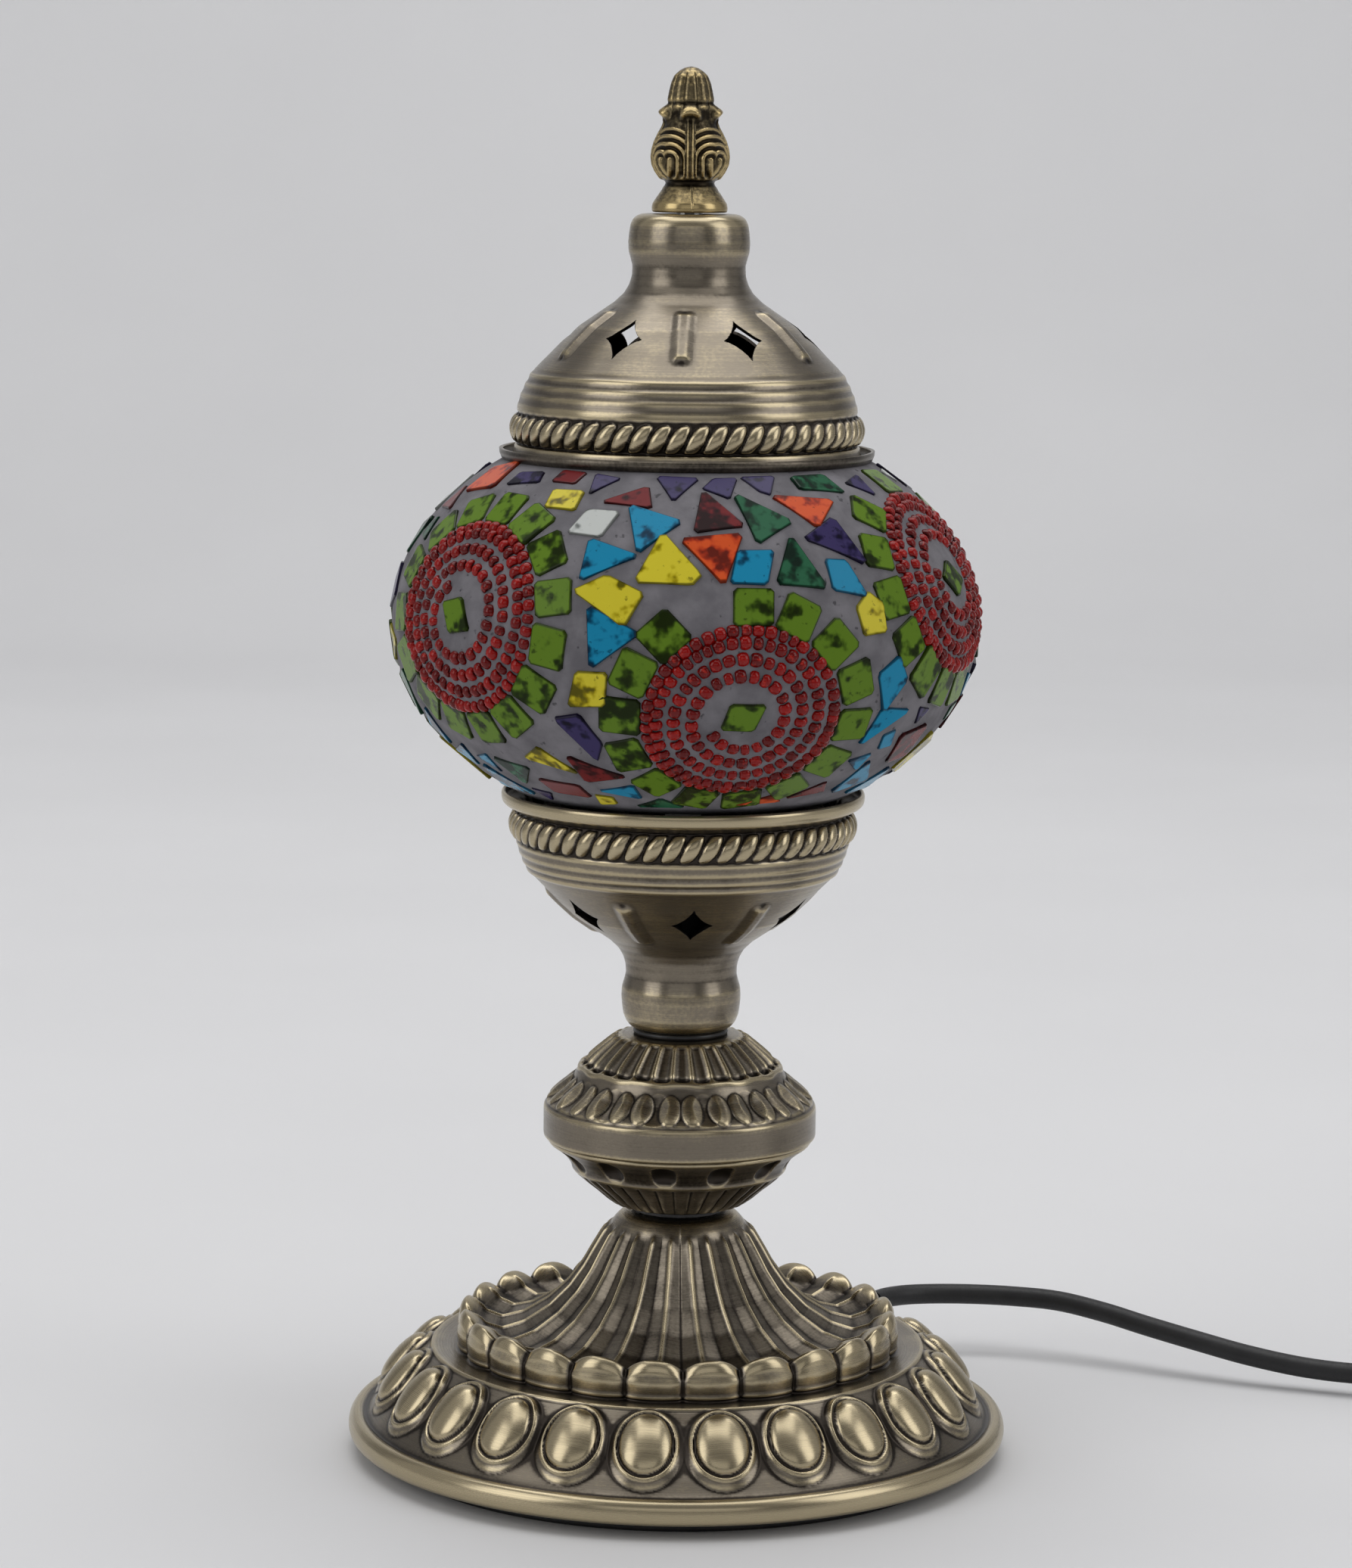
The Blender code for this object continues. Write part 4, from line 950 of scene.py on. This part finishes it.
def knob_lower_relief(outline, along, radius, angles):
    """U-shaped scoops under the band, a step, then flutes down to the neck."""
    marks = outline.marks
    across = repeated(angles, 13, -7.4) * math.pi / 180.0 * radius
    start, end = marks[2] + 0.4, marks[KNOB_DENTS_END] - 0.4
    middle = (start + end) / 2
    inside = np.clip(1 - (np.abs(across) / 3.0) ** 2.4 - (np.abs(along - middle) / (end - middle)) ** 3, 0, 1)
    out = -1.3 * inside**0.9
    out = out + 0.35 * hump(along, marks[KNOB_DENTS_END] + 0.5, 0.8)
    u = repeated(angles, 36, 1.8) / 5.0
    fluted = window(along, marks[KNOB_DENTS_END] + 1.9, marks[11], 1.2)
    out = out + fluted * 0.032 * radius * (np.sqrt(np.clip(1 - 0.98 * u**2, 0, 1)) - 0.6)
    # The whole lower shell is darkened as painted shade on its underside, and the scoops further as painted
    # shade in the hollows.
    return out, 0.0, 0.0, -0.16 - 0.10 * inside**0.5


FINIAL_OUTLINE = [
    (0.02, 319.4), (1.5, 319.1), (2.7, 318.4), (3.7, 317.2), (4.4, 315.6), (4.8, 313.9), (5.1, 312.4),
    (5.3, 311.2), (5.5, 309.8), (5.6, 308.0), (5.7, 306.9), (6.2, 305.6), (7.0, 304.2), (7.8, 302.5),
    (8.3, 300.8), (8.5, 299.2), (8.3, 297.6), (7.6, 296.1), (6.6, 294.7), (5.9, 293.7), (5.8, 292.9),
    (6.4, 291.8), (7.3, 290.5), (7.9, 289.6), (8.4, 288.8), (8.6, 287.8), (8.5, 287.0), (8.2, 286.85),
    (6.8, 286.85), (6.8, 288.3), (3.3, 288.3), (3.3, 297.4), (0.02, 298.4),
]


def finial_relief(outline, along, radius, angles):
    """A ribbed bud over four leaves with nested arches, whose tips turn out, on a waist and a plain foot."""
    z = outline.z[:, None] * np.ones_like(along)
    quarter = repeated(angles, 4, 0.0)
    across = radius * np.sin(np.radians(quarter))
    bud = window(z, 310.6, 317.2, 1.4)
    ribs = repeated(angles, 10, 0.0) * 10 / 180
    out = bud * 0.62 * (np.sqrt(np.clip(1 - 0.98 * ribs**2, 0, 1)) - 0.6)
    tip = np.exp(-((quarter / 25.0) ** 4))
    out = out + 1.75 * tip * hump(z, 309.2 - 0.02 * np.abs(quarter), 1.2)
    out = out - 0.5 * (1 - tip) * hump(z, 308.8, 1.8) - 0.3 * hump(z, 311.2, 0.5)
    leaf = window(z, 295.4, 306.4, 1.2) * (radius > 5.0) * (np.abs(across) > 1.2)
    arch = np.hypot(np.abs(across) - 4.8, np.maximum(z - 298.6, 0.0))
    ridge = 0.5 + 0.5 * np.cos(TAU * (arch - 0.1) / 1.75)
    out = out + leaf * 0.75 * (ridge - 0.6) * (arch < 7.2)
    stem = np.exp(-(((np.abs(across) - 0.55) / 0.34) ** 2)) * window(z, 294.8, 307.2, 1.0)
    out = out + 0.5 * stem
    out = out - 0.35 * hump(z, 293.4, 0.5)
    seam = np.exp(-((repeated(angles, 2, 4.0) / 1.6) ** 2)) * window(z, 287.6, 292.6, 0.5)
    out = out - 0.18 * seam
    mask = along < outline.marks[-7] - 0.3
    polish_and_painted_light = leaf * 0.18 * (ridge - 0.6) - 0.12 * hump(z, 293.6, 0.8) + 0.12 * (z < 292.4)
    polish_and_painted_light = polish_and_painted_light + 0.12 * tip * hump(z, 309.4, 1.0) - 0.16 * (1 - tip) * hump(z, 308.6, 1.6)
    return out * mask, 0.0, 0.0, polish_and_painted_light * mask


def mirrored(outline, start, upward):
    return [(r, start + upward * h) for r, h in outline]


def vent_cutter(start, upward, first_azimuth):
    """Six four-pointed star holes between the bars of a pressing, as one cutter."""
    slope = STAR_SLOPE * upward
    points, faces = [], []
    for k in range(6):
        azimuth = math.radians(first_azimuth - 90.0 + 60 * k)
        level = Vector((math.cos(azimuth), math.sin(azimuth), 0.0))
        outward = level * math.cos(slope) + Vector((0.0, 0.0, math.sin(slope)))
        across = Vector((-math.sin(azimuth), math.cos(azimuth), 0.0))
        up = outward.cross(across)
        middle = level * STAR_CIRCLE_R + Vector((0.0, 0.0, start + upward * STAR_HEIGHT))
        count = 48
        base = len(points)
        for depth in (-7.0, 7.0):
            for i in range(count):
                angle = TAU * i / count
                c, s = math.cos(angle), math.sin(angle)
                size = (abs(c) ** STAR_POWER + abs(s) ** STAR_POWER) ** (-1 / STAR_POWER)
                flat = across * (c * size * STAR_WIDE) + up * (s * size * STAR_TALL)
                points.append(middle + flat + outward * depth)
        for i in range(count):
            j = (i + 1) % count
            faces.append((base + i, base + j, base + count + j, base + count + i))
        faces.append(tuple(base + i for i in range(count))[::-1])
        faces.append(tuple(base + count + i for i in range(count)))
    return mesh_object("star_cutter", points, faces, BRASS, smooth=False)


def make_metalwork():
    base = lathe("pressed_base", Outline(BASE_OUTLINE), 1200, BRASS, base_relief)
    settle(base, "lamp_body", "antique_brass", "base_shell")
    cup_outline = Outline(mirrored(CUP_OUTLINE[::-1], CUP_LIP, -1), 0.3, 0.28)
    cup = lathe("lower_cup_pressing", cup_outline, 960, BRASS, pressing_relief(35.0, -1.0, -1))
    cap_outline = Outline(mirrored(CAP_OUTLINE, CAP_LIP, 1), 0.3, 0.28)
    cap = lathe("top_cap_pressing", cap_outline, 960, BRASS, pressing_relief(-2.8, 1.0, 1))
    pressings = (cup, "lower_cup", "lamp_body", CUP_LIP, -1, 5.0), (cap, "top_cap", "cap", CAP_LIP, 1, -32.8)
    for pressing, node, body, lip, upward, star_azimuth in pressings:
        boolean_cut(pressing, vent_cutter(lip, upward, star_azimuth))
        settle(pressing, body, "antique_brass", node)
    knob = (("upper", KNOB_UPPER, 1, knob_upper_relief), ("lower", KNOB_LOWER, -1, knob_lower_relief))
    for half, points, upward, relief in knob:
        outline = Outline(mirrored(points, KNOB_SEAM, upward), 0.25, 0.35)
        shell = lathe(f"knob_{half}_pressing", outline, 900, BRASS, relief)
        settle(shell, "lamp_body", "antique_brass", f"knob_{half}_shell")
    outline = Outline(FINIAL_OUTLINE, 0.16, 0.16)
    finial = lathe("cast_finial", outline, 448, GOLD, finial_relief, thickness=0.0)
    settle(finial, "finial", "gold_brass", "finial")
    make_pad()
    make_cup_spacer()


def turned_rings(side, segments):
    """Rings of points from a turned shape's (radius, height) points."""
    radius, height = (np.array(side)[:, k, None] for k in (0, 1))
    angle = TAU * np.arange(segments)[None, :] / segments
    return np.stack([radius * np.cos(angle), radius * np.sin(angle), height * np.ones_like(angle)], -1)


def make_pad():
    """The rubber ring under the base, with a soft edge and a fine groove round its side."""
    side = [(58.4, 0.3), (58.1, 0.6), (58.1, 2.3), (58.4, 2.6), (68.2, 2.6), (68.6, 2.3)]
    side += [(68.6, 1.6), (68.4, 1.4), (68.6, 1.2), (68.6, 0.4), (68.2, 0.05), (58.8, 0.05)]
    pad = grid_object("rubber_base_pad", turned_rings(side, 360), RUBBER, True)
    settle(pad, "lamp_body", "black_rubber", "base_pad")


def make_cup_spacer():
    """The dark collar between the knob and the cup."""
    low, high = KNOB_SEAM + 24.15, CUP_LIP - 56.15
    side = [(5.6, low), (5.6, high), (10.8, high), (11.0, (low + high) / 2), (10.8, low)]
    collar = grid_object("dark_neck_collar", turned_rings(side[::-1], 120), PLASTIC, True)
    settle(collar, "lamp_body", "black_plastic", "cup_spacer")


# ---------------------------------------------------------------- globe

MEDALLIONS = [(-49.2, 199.4), (11.6, 179.6), (67.4, 207.2), (128.0, 182.0), (188.0, 205.0), (248.0, 181.0)]
BEAD_SPIRAL_R = 22.2
BEAD_INNER_R = 7.6
BEAD_PITCH = 4.2
BEAD_SPACING = 3.05
BEAD_DEPTH = 1.5
OLIVE_RING_R = 29.0
OLIVE_SIZE = 9.0
OLIVE_COUNT = 15
OLIVE_FIRST = 86.5
GLASS_R, GLASS_HALF, GLASS_MOUTH_R = 64.6, 44.7, 34.0
GROUT_DEPTH = 1.0
GROUT_MOUTH_R = 37.5
TILE_DEPTH = 0.72
TILE_LOW, TILE_HIGH = 157.5, 229.8  # heights between which a tile's middle shows
TILE_RINGS = [  # (distance in from the cut edge, height, how much painted edge shade), from the face to the back
    (1.05, 0.03, 0.0), (0.60, 0.03, 0.35), (0.22, -0.02, 0.9), (0.0, -0.25, 1.0), (0.0, -1.35, 1.0),
]
CENTRE_TILE = [(-5.0, -3.0), (2.6, -3.5), (4.9, 3.2), (-3.3, 3.5)]
MOSAIC_GAP = 0.8
HAND_LAID_FROM, HAND_LAID_TO, HAND_LAID_LOW = 325.0, 42.0, 174.0  # azimuths and lowest height

TILE_COLOURS = {  # deep, body and light glass
    "olive": ((0.006, 0.010, 0.001), (0.034, 0.068, 0.004), (0.110, 0.200, 0.016)),
    "green": ((0.001, 0.008, 0.004), (0.004, 0.040, 0.018), (0.020, 0.110, 0.052)),
    "yellow": ((0.050, 0.045, 0.003), (0.400, 0.320, 0.006), (0.620, 0.530, 0.035)),
    "blue": ((0.001, 0.012, 0.030), (0.003, 0.085, 0.170), (0.012, 0.230, 0.400)),
    "orange": ((0.060, 0.005, 0.002), (0.420, 0.034, 0.008), (0.600, 0.080, 0.016)),
    "darkred": ((0.006, 0.001, 0.001), (0.060, 0.004, 0.008), (0.150, 0.012, 0.014)),
    "purple": ((0.002, 0.001, 0.006), (0.012, 0.008, 0.040), (0.040, 0.030, 0.100)),
    "clear": ((0.060, 0.065, 0.060), (0.240, 0.255, 0.245), (0.520, 0.540, 0.520)),
}

FRONT_TILES = [  # colour, azimuth, height, and corners across and up the surface, placed one by one
    ("yellow", -32.0, 226.0, [(-4, -3), (4.5, -3.5), (4, 3), (-4.5, 3)]),
    ("clear", -21.5, 221.5, [(-5.5, -3), (3, -4), (5.5, 3.5), (-2.5, 4)]),
    ("blue", -8.3, 221.4, [(-2, -8), (7.5, 1.5), (-5.5, 6)]),
    ("blue", -17.3, 214.4, [(-4.5, -6), (8.5, 1), (-4, 5)]),
    ("yellow", -2.7, 212.7, [(-8.5, -3.5), (4.5, -4), (6.5, -1.5), (-2.5, 9)]),
    ("yellow", -14.4, 206.4, [(3.5, -7), (7.5, 1), (-1.5, 5), (-9, 1)]),
    ("darkred", 6.4, 223.5, [(-5, -5), (7, -3), (-2, 8)]),
    ("orange", 6.1, 216.1, [(1.5, -8.5), (6.5, 5), (-8, 3.5)]),
    ("green", 17.5, 222.6, [(-2.5, -7), (7.5, -0.5), (-5, 8)]),
    ("orange", 30.6, 224.8, [(0, -6.5), (8, 2), (-8, 4.5)]),
    ("purple", 33.9, 218.0, [(6, -7), (2, 6.5), (-8.5, 1)]),
    ("blue", 13.4, 213.1, [(-5.5, -4), (3, -4.5), (5.5, 4), (-3, 4)]),
    ("green", 22.9, 212.4, [(-6, -3.5), (6.5, -5), (0, 8.5)]),
    ("blue", 32.6, 210.3, [(-3.5, -3), (5.5, -5), (2, 4), (-3.5, 4.5)]),
    ("yellow", 37.1, 202.2, [(-2, -5), (4.5, -4.5), (4.5, 2), (0.5, 5), (-3.5, 1.5)]),
    ("blue", 43.0, 185.9, [(-0.5, -7), (5.5, 0.5), (1.5, 6.5), (-4.5, 2.5)]),
    ("blue", 44.5, 176.8, [(-5, -6.5), (7.5, 2.5), (-2.5, 4)]),
    ("blue", -15.0, 197.6, [(-3.5, -7.5), (8, 1), (-4.5, 7)]),
    ("yellow", -18.7, 185.7, [(-5, -4.5), (4, -4), (5, 4), (-2.5, 4)]),
    ("purple", -21.7, 174.1, [(2.5, -7), (5, -1.5), (1, 6.5), (-5.5, 5)]),
    ("yellow", -32.1, 167.7, [(-6.5, 0), (7, -4.5), (-1, 4.5)]),
    ("darkred", -21.7, 165.5, [(-3, -4.5), (8, -1.5), (-5, 5.5)]),
    ("blue", -17.5, 160.7, [(-5, -0.5), (5, -3.5), (4.5, 3)]),
    ("darkred", -14.5, 227.6, [(-6.5, -3), (5.8, -4.5), (3.5, 3.0)]),
    ("green", 38.5, 229.6, [(-6, -2.0), (6.2, -4), (4.2, 3.0), (-5.8, 2.6)]),
    ("purple", -2.6, 229.4, [(-0.7, -5.7), (5.0, 2.9), (-5.0, 3.4)]),
    ("purple", 9.2, 229.4, [(-4.4, -0.9), (1.5, -4.7), (4.2, 2.8), (-1.4, 2.8)]),
    ("purple", 20.8, 229.8, [(-1.3, -2.9), (1.1, -4.2), (4.3, 2.6), (-4.3, 2.6)]),
    ("purple", -24.0, 229.8, [(-1.6, -4.9), (4.2, 1.5), (-2.9, 2.9)]),
    ("darkred", -35.5, 230.4, [(-3.8, -2.2), (3.0, -2.6), (3.8, 2.0), (-3.2, 2.4)]),
    ("purple", -50.0, 229.4, [(-5, -3), (5, -1), (3, 3), (-5, 2)]),
    ("darkred", -33.0, 160.6, [(-4.5, -3.2), (5.2, -4.2), (4.5, 1.6), (-6.0, 2.8)]),
    ("green", -7.0, 157.2, [(-5.6, -1.6), (5.8, -1.4), (0.6, 3.6)]),
    ("orange", 22.0, 158.2, [(-6.0, -2.2), (5.6, -1.2), (3.0, 3.0)]),
    ("darkred", 36.0, 160.2, [(-5.5, -3.2), (5.2, -1.5), (2.5, 3.8)]),
]


def surface_frame(azimuth, height, depth=0.0):
    """A point on the globe and the directions across, up and out of its surface there."""
    angle = math.radians(azimuth - 90.0)
    rise = (height - MOSAIC_MID) / GLOBE_HALF
    radius = GLOBE_R * math.sqrt(1 - rise**2)
    point = np.array([radius * math.cos(angle), radius * math.sin(angle), height])
    normal = np.array([point[0] / GLOBE_R**2, point[1] / GLOBE_R**2, (height - MOSAIC_MID) / GLOBE_HALF**2])
    normal /= np.linalg.norm(normal)
    across = np.array([-math.sin(angle), math.cos(angle), 0.0])
    return point - normal * depth, across, np.cross(normal, across), normal


def on_surface(point, depth):
    """The point moved straight to or from the globe's middle, to a depth under the beads."""
    middle = np.array([0.0, 0.0, MOSAIC_MID])
    away = point - middle
    radius, half_height = GLOBE_R - depth, GLOBE_HALF - depth
    reach = math.sqrt((away[0] ** 2 + away[1] ** 2) / radius**2 + away[2] ** 2 / half_height**2)
    return middle + away / reach


def azimuth_and_height(point):
    return math.degrees(math.atan2(point[1], point[0])) + 90.0, point[2]


def separated(first, second, gap):
    """True if two convex outlines are at least a gap apart along one of their edges' normals."""
    for shape in (first, second):
        for (ax, ay), (bx, by) in zip(shape, shape[1:] + shape[:1]):
            nx, ny = by - ay, ax - bx
            size = math.hypot(nx, ny)
            one = [(x * nx + y * ny) / size for x, y in first]
            two = [(x * nx + y * ny) / size for x, y in second]
            if min(two) - max(one) > gap or min(one) - max(two) > gap:
                return True
    return False


class Mosaic:
    """The cut glass pieces placed so far, sorted by colour."""

    def __init__(self):
        self.placed = []
        self.parts = {colour: ([], [], [], []) for colour in TILE_COLOURS}

    def fits(self, place, corners, size, gap):
        point, across, up, normal = place
        for other, other_corners, other_size in self.placed:
            if np.linalg.norm(other - point) > size + other_size + gap:
                continue
            flat = [(float(np.dot(c - point, across)), float(np.dot(c - point, up))) for c in other_corners]
            if not separated(corners, flat, gap):
                return False
        return True

    def add(self, colour, place, corners, chance, depth=TILE_DEPTH):
        """A flat piece with softened edges in painted shade, slightly tipped in its grout."""
        point, across, up, normal = place
        size = max(math.hypot(x, y) for x, y in corners)
        solid = [point + across * x + up * y for x, y in corners]
        self.placed.append((point, solid, size))
        points, faces, tints, edges = self.parts[colour]
        tint = chance.random()
        tip_x, tip_y = chance.uniform(-0.02, 0.02), chance.uniform(-0.02, 0.02)
        rounded = []
        count = len(corners)
        for i, (x, y) in enumerate(corners):
            for (px, py), share in ((corners[i - 1], 0.09), (corners[(i + 1) % count], 0.09)):
                rounded.append((x + (px - x) * share, y + (py - y) * share))
        middle_x, middle_y = (sum(c[k] for c in corners) / count for k in (0, 1))
        first = len(points)
        for inset, height, edge in TILE_RINGS:
            for x, y in rounded:
                away = math.hypot(x - middle_x, y - middle_y)
                share = 1 - inset / max(away, inset + 0.3)
                x, y = middle_x + (x - middle_x) * share, middle_y + (y - middle_y) * share
                lift = height - depth + tip_x * x + tip_y * y
                points.append(point + across * x + up * y + normal * lift)
                tints.append(tint)
                edges.append(edge)
        sides = len(rounded)
        for ring in range(len(TILE_RINGS) - 1):
            for i in range(sides):
                a, b = first + ring * sides + i, first + ring * sides + (i + 1) % sides
                faces.append((a, a + sides, b + sides, b))
        faces.append(tuple(range(first, first + sides)))
        last = first + sides * (len(TILE_RINGS) - 1)
        faces.append(tuple(range(last, last + sides))[::-1])

    def objects(self):
        made = []
        for colour, (points, faces, tints, edges) in self.parts.items():
            if not points:
                continue
            material = tile_glass(f"{colour}_mosaic_glass", *TILE_COLOURS[colour])
            tiles = mesh_object(f"mosaic_tiles_{colour}", points, faces, material, smooth=False)
            set_values(tiles.data, {"tint": tints, "edge": edges})
            made.append(tiles)
        return made


def medallion_place(frame_of, reach, angle):
    """The surface frame at a distance and a direction from a medallion's middle."""
    point, across, up, _ = frame_of
    flat = point + across * (reach * math.cos(angle)) + up * (reach * math.sin(angle))
    azimuth, height = azimuth_and_height(on_surface(flat, 0.0))
    return surface_frame(azimuth, height)


def turned_corners(corners, place, direction):
    """Corners turned in the surface so that their own Y axis points along a direction in space."""
    _, across, up, _ = place
    angle = math.atan2(float(np.dot(direction, up)), float(np.dot(direction, across))) - TAU / 4
    c, s = math.cos(angle), math.sin(angle)
    return [(x * c - y * s, x * s + y * c) for x, y in corners]


def random_corners(chance, size):
    """A triangle, or a four-sided piece, of uneven shape."""
    sides = 3 if chance.random() < 0.58 else 4
    turn = chance.uniform(0, TAU)
    corners = []
    for i in range(sides):
        angle = turn + TAU * (i + chance.uniform(-0.13, 0.13)) / sides
        reach = size * chance.uniform(0.82, 1.12)
        corners.append((reach * math.cos(angle), reach * math.sin(angle)))
    return corners


def fill_mosaic(mosaic, medallions):
    chance = random.Random(12)
    names = ["blue", "yellow", "orange", "darkred", "green", "purple", "olive", "clear"]
    shares = [26, 18, 13, 12, 11, 14, 2, 4]
    for size, tries in ((8.2, 900), (7.0, 1500), (5.8, 2200), (4.6, 2600), (3.4, 2600)):
        for _ in range(tries):
            azimuth = chance.uniform(0, 360)
            height = chance.uniform(TILE_LOW, TILE_HIGH)
            place = surface_frame(azimuth, height)
            point = place[0]
            if min(np.linalg.norm(point - m[0]) for m in medallions) < BEAD_SPIRAL_R + 2.2 + size * 0.5:
                continue
            if (azimuth > HAND_LAID_FROM or azimuth < HAND_LAID_TO) and height > HAND_LAID_LOW:
                continue
            corners = random_corners(chance, size)
            if mosaic.fits(place, corners, size * 1.12, MOSAIC_GAP):
                colour = chance.choices(names, shares)[0]
                if height > 225.0 and chance.random() < 0.65:
                    colour = "purple"
                mosaic.add(colour, place, corners, chance)


BEAD_PROFILE = [  # (radius, along the bead), with the hole's side last
    (1.05, -1.18), (1.40, -0.88), (1.60, -0.25), (1.60, 0.25), (1.40, 0.88), (1.05, 1.18),
    (0.55, 1.00), (0.45, 0.0), (0.55, -1.00),
]


def make_beads(number, frame_of, chance):
    """Seed beads threaded in a spiral, each a small barrel with its hole along the thread."""
    middle, across, up, _ = frame_of
    points, faces, tints, edges = [], [], [], []
    segments, rings = 12, len(BEAD_PROFILE)
    angle = start = chance.uniform(0, TAU)
    reach = BEAD_SPIRAL_R
    while reach > BEAD_INNER_R:
        spot = middle + across * (reach * math.cos(angle)) + up * (reach * math.sin(angle))
        later = angle - 0.02
        ahead = middle + across * (reach * math.cos(later)) + up * (reach * math.sin(later))
        centre = on_surface(spot, BEAD_DEPTH + chance.uniform(-0.12, 0.12))
        thread = on_surface(ahead, BEAD_DEPTH) - on_surface(spot, BEAD_DEPTH)
        azimuth, height = azimuth_and_height(centre)
        normal = surface_frame(azimuth, height)[3]
        thread = thread / np.linalg.norm(thread) + normal * chance.uniform(-0.12, 0.12)
        thread += np.cross(normal, thread) * chance.uniform(-0.10, 0.10)
        thread /= np.linalg.norm(thread)
        side = np.cross(thread, normal)
        side /= np.linalg.norm(side)
        third = np.cross(side, thread)
        size, stretch = chance.uniform(0.94, 1.08), chance.uniform(0.82, 1.16)
        tint, first = chance.random(), len(points)
        for k, (radius, place) in enumerate(BEAD_PROFILE):
            for j in range(segments):
                a = TAU * j / segments
                ring = side * math.cos(a) + third * math.sin(a)
                points.append(centre + thread * (place * stretch) + ring * (radius * size))
                tints.append(tint)
                # How much painted shade: full inside the hole, partial at the ends.
                edges.append(1.0 if k > 5 else 0.35 if k in (0, 5) else 0.0)
        for k in range(rings):
            for j in range(segments):
                a, b = first + k * segments + j, first + k * segments + (j + 1) % segments
                c = first + ((k + 1) % rings) * segments + (j + 1) % segments
                faces.append((a, b, c, first + ((k + 1) % rings) * segments + j))
        step = BEAD_SPACING * stretch ** 0.5
        full = start - angle > 0.95 * TAU  # the first turn keeps its radius
        angle -= step / reach
        if full:
            reach -= BEAD_PITCH * step / (TAU * reach)
    beads = mesh_object(f"seed_beads_{number}", points, faces, BEADS)
    set_values(beads.data, {"tint": tints, "edge": edges})
    return beads


def oblate_outline(middle, radius, half_height, mouth_r, count=60):
    """An ellipsoid's side from its upper mouth to its lower one."""
    first = math.acos(mouth_r / radius)
    angles = [first - 2 * first * i / count for i in range(count + 1)]
    return [(radius * math.cos(a), middle + half_height * math.sin(a)) for a in angles]


def make_globe():
    chance = random.Random(5)
    blown = Outline(oblate_outline(GLOBE_MID, GLASS_R, GLASS_HALF, GLASS_MOUTH_R), 1.5, 0.5)
    glass = lathe("blown_globe", blown, 192, GLASS, None, 2.2, 1)
    settle(glass, "globe", "clear_glass", "globe_glass")
    outer = oblate_outline(MOSAIC_MID, GLOBE_R - GROUT_DEPTH, GLOBE_HALF - GROUT_DEPTH, GROUT_MOUTH_R)
    grout = lathe("grout_shell", Outline(outer, 1.0, 0.5), 360, GROUT, None, 1.4, 1)
    settle(grout, "globe", "grey_grout", "mosaic_grout")
    medallions = [surface_frame(*medallion) for medallion in MEDALLIONS]
    mosaic = Mosaic()
    half = OLIVE_SIZE / 2
    for number, middle in enumerate(medallions, 1):
        tilt = 0.0 if number == 2 else chance.uniform(0.5, 1.4)
        towards = middle[1] * math.sin(tilt) + middle[2] * math.cos(tilt)
        centre = Mosaic()
        centre.add("olive", middle, turned_corners(CENTRE_TILE, middle, towards), chance, 0.5)
        tile = centre.objects()[0]
        tile.name = f"medallion_tile_{number}"
        settle(tile, "globe", "olive_glass_tile", f"centre_tile_{number}")
        settle(make_beads(number, middle, chance), "globe", "red_glass_beads", f"bead_spiral_{number}")
        for k in range(OLIVE_COUNT):
            angle = math.radians(OLIVE_FIRST + 360.0 * k / OLIVE_COUNT)
            place = medallion_place(middle, OLIVE_RING_R, angle)
            if not TILE_LOW - 1.5 < place[0][2] < TILE_HIGH + 1.0:
                continue
            a, b = half * chance.uniform(0.92, 1.05), half * chance.uniform(0.92, 1.05)
            low, high = b * chance.uniform(0.9, 1.1), b * chance.uniform(0.9, 1.1)
            square = [(-a, -b), (a, -low), (a, b), (-a, high)]
            square = turned_corners(square, place, place[0] - middle[0])
            if mosaic.fits(place, square, half * 1.5, 0.1):
                mosaic.add("olive", place, square, chance)
    for colour, azimuth, height, corners in FRONT_TILES:
        mosaic.add(colour, surface_frame(azimuth, height), corners, chance)
    fill_mosaic(mosaic, medallions)
    for piece in mosaic.objects():
        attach(piece, "globe")


# ---------------------------------------------------------------- finishes on the CAD nodes


def finish_nodes():
    """Procedural finishes on the CAD nodes that still show."""
    finishes = {
        "antique_brass": BRASS,
        "gold_brass": CONTACT_BRASS,
        "zinc_steel": STEEL,
        "clear_glass": GLASS,
        "grey_grout": GROUT,
        "red_glass_beads": BEADS,
        "olive_glass_tile": GROUT,
        "black_rubber": RUBBER,
        "black_plastic": PLASTIC,
        "white_ceramic": CERAMIC,
        "filament": FILAMENT,
    }
    slots = {subpart["node"]: subpart["material_slot"] for subpart in frame["record"]["subparts"]}
    for name, node in frame["nodes"].items():
        node.data.materials.clear()
        node.data.materials.append(finishes[slots[name]])
        node.data.shade_smooth()
        node.data.set_sharp_from_angle(angle=math.radians(32))


make_camera()
make_cord()
make_stage()
make_metalwork()
make_globe()
finish_nodes()
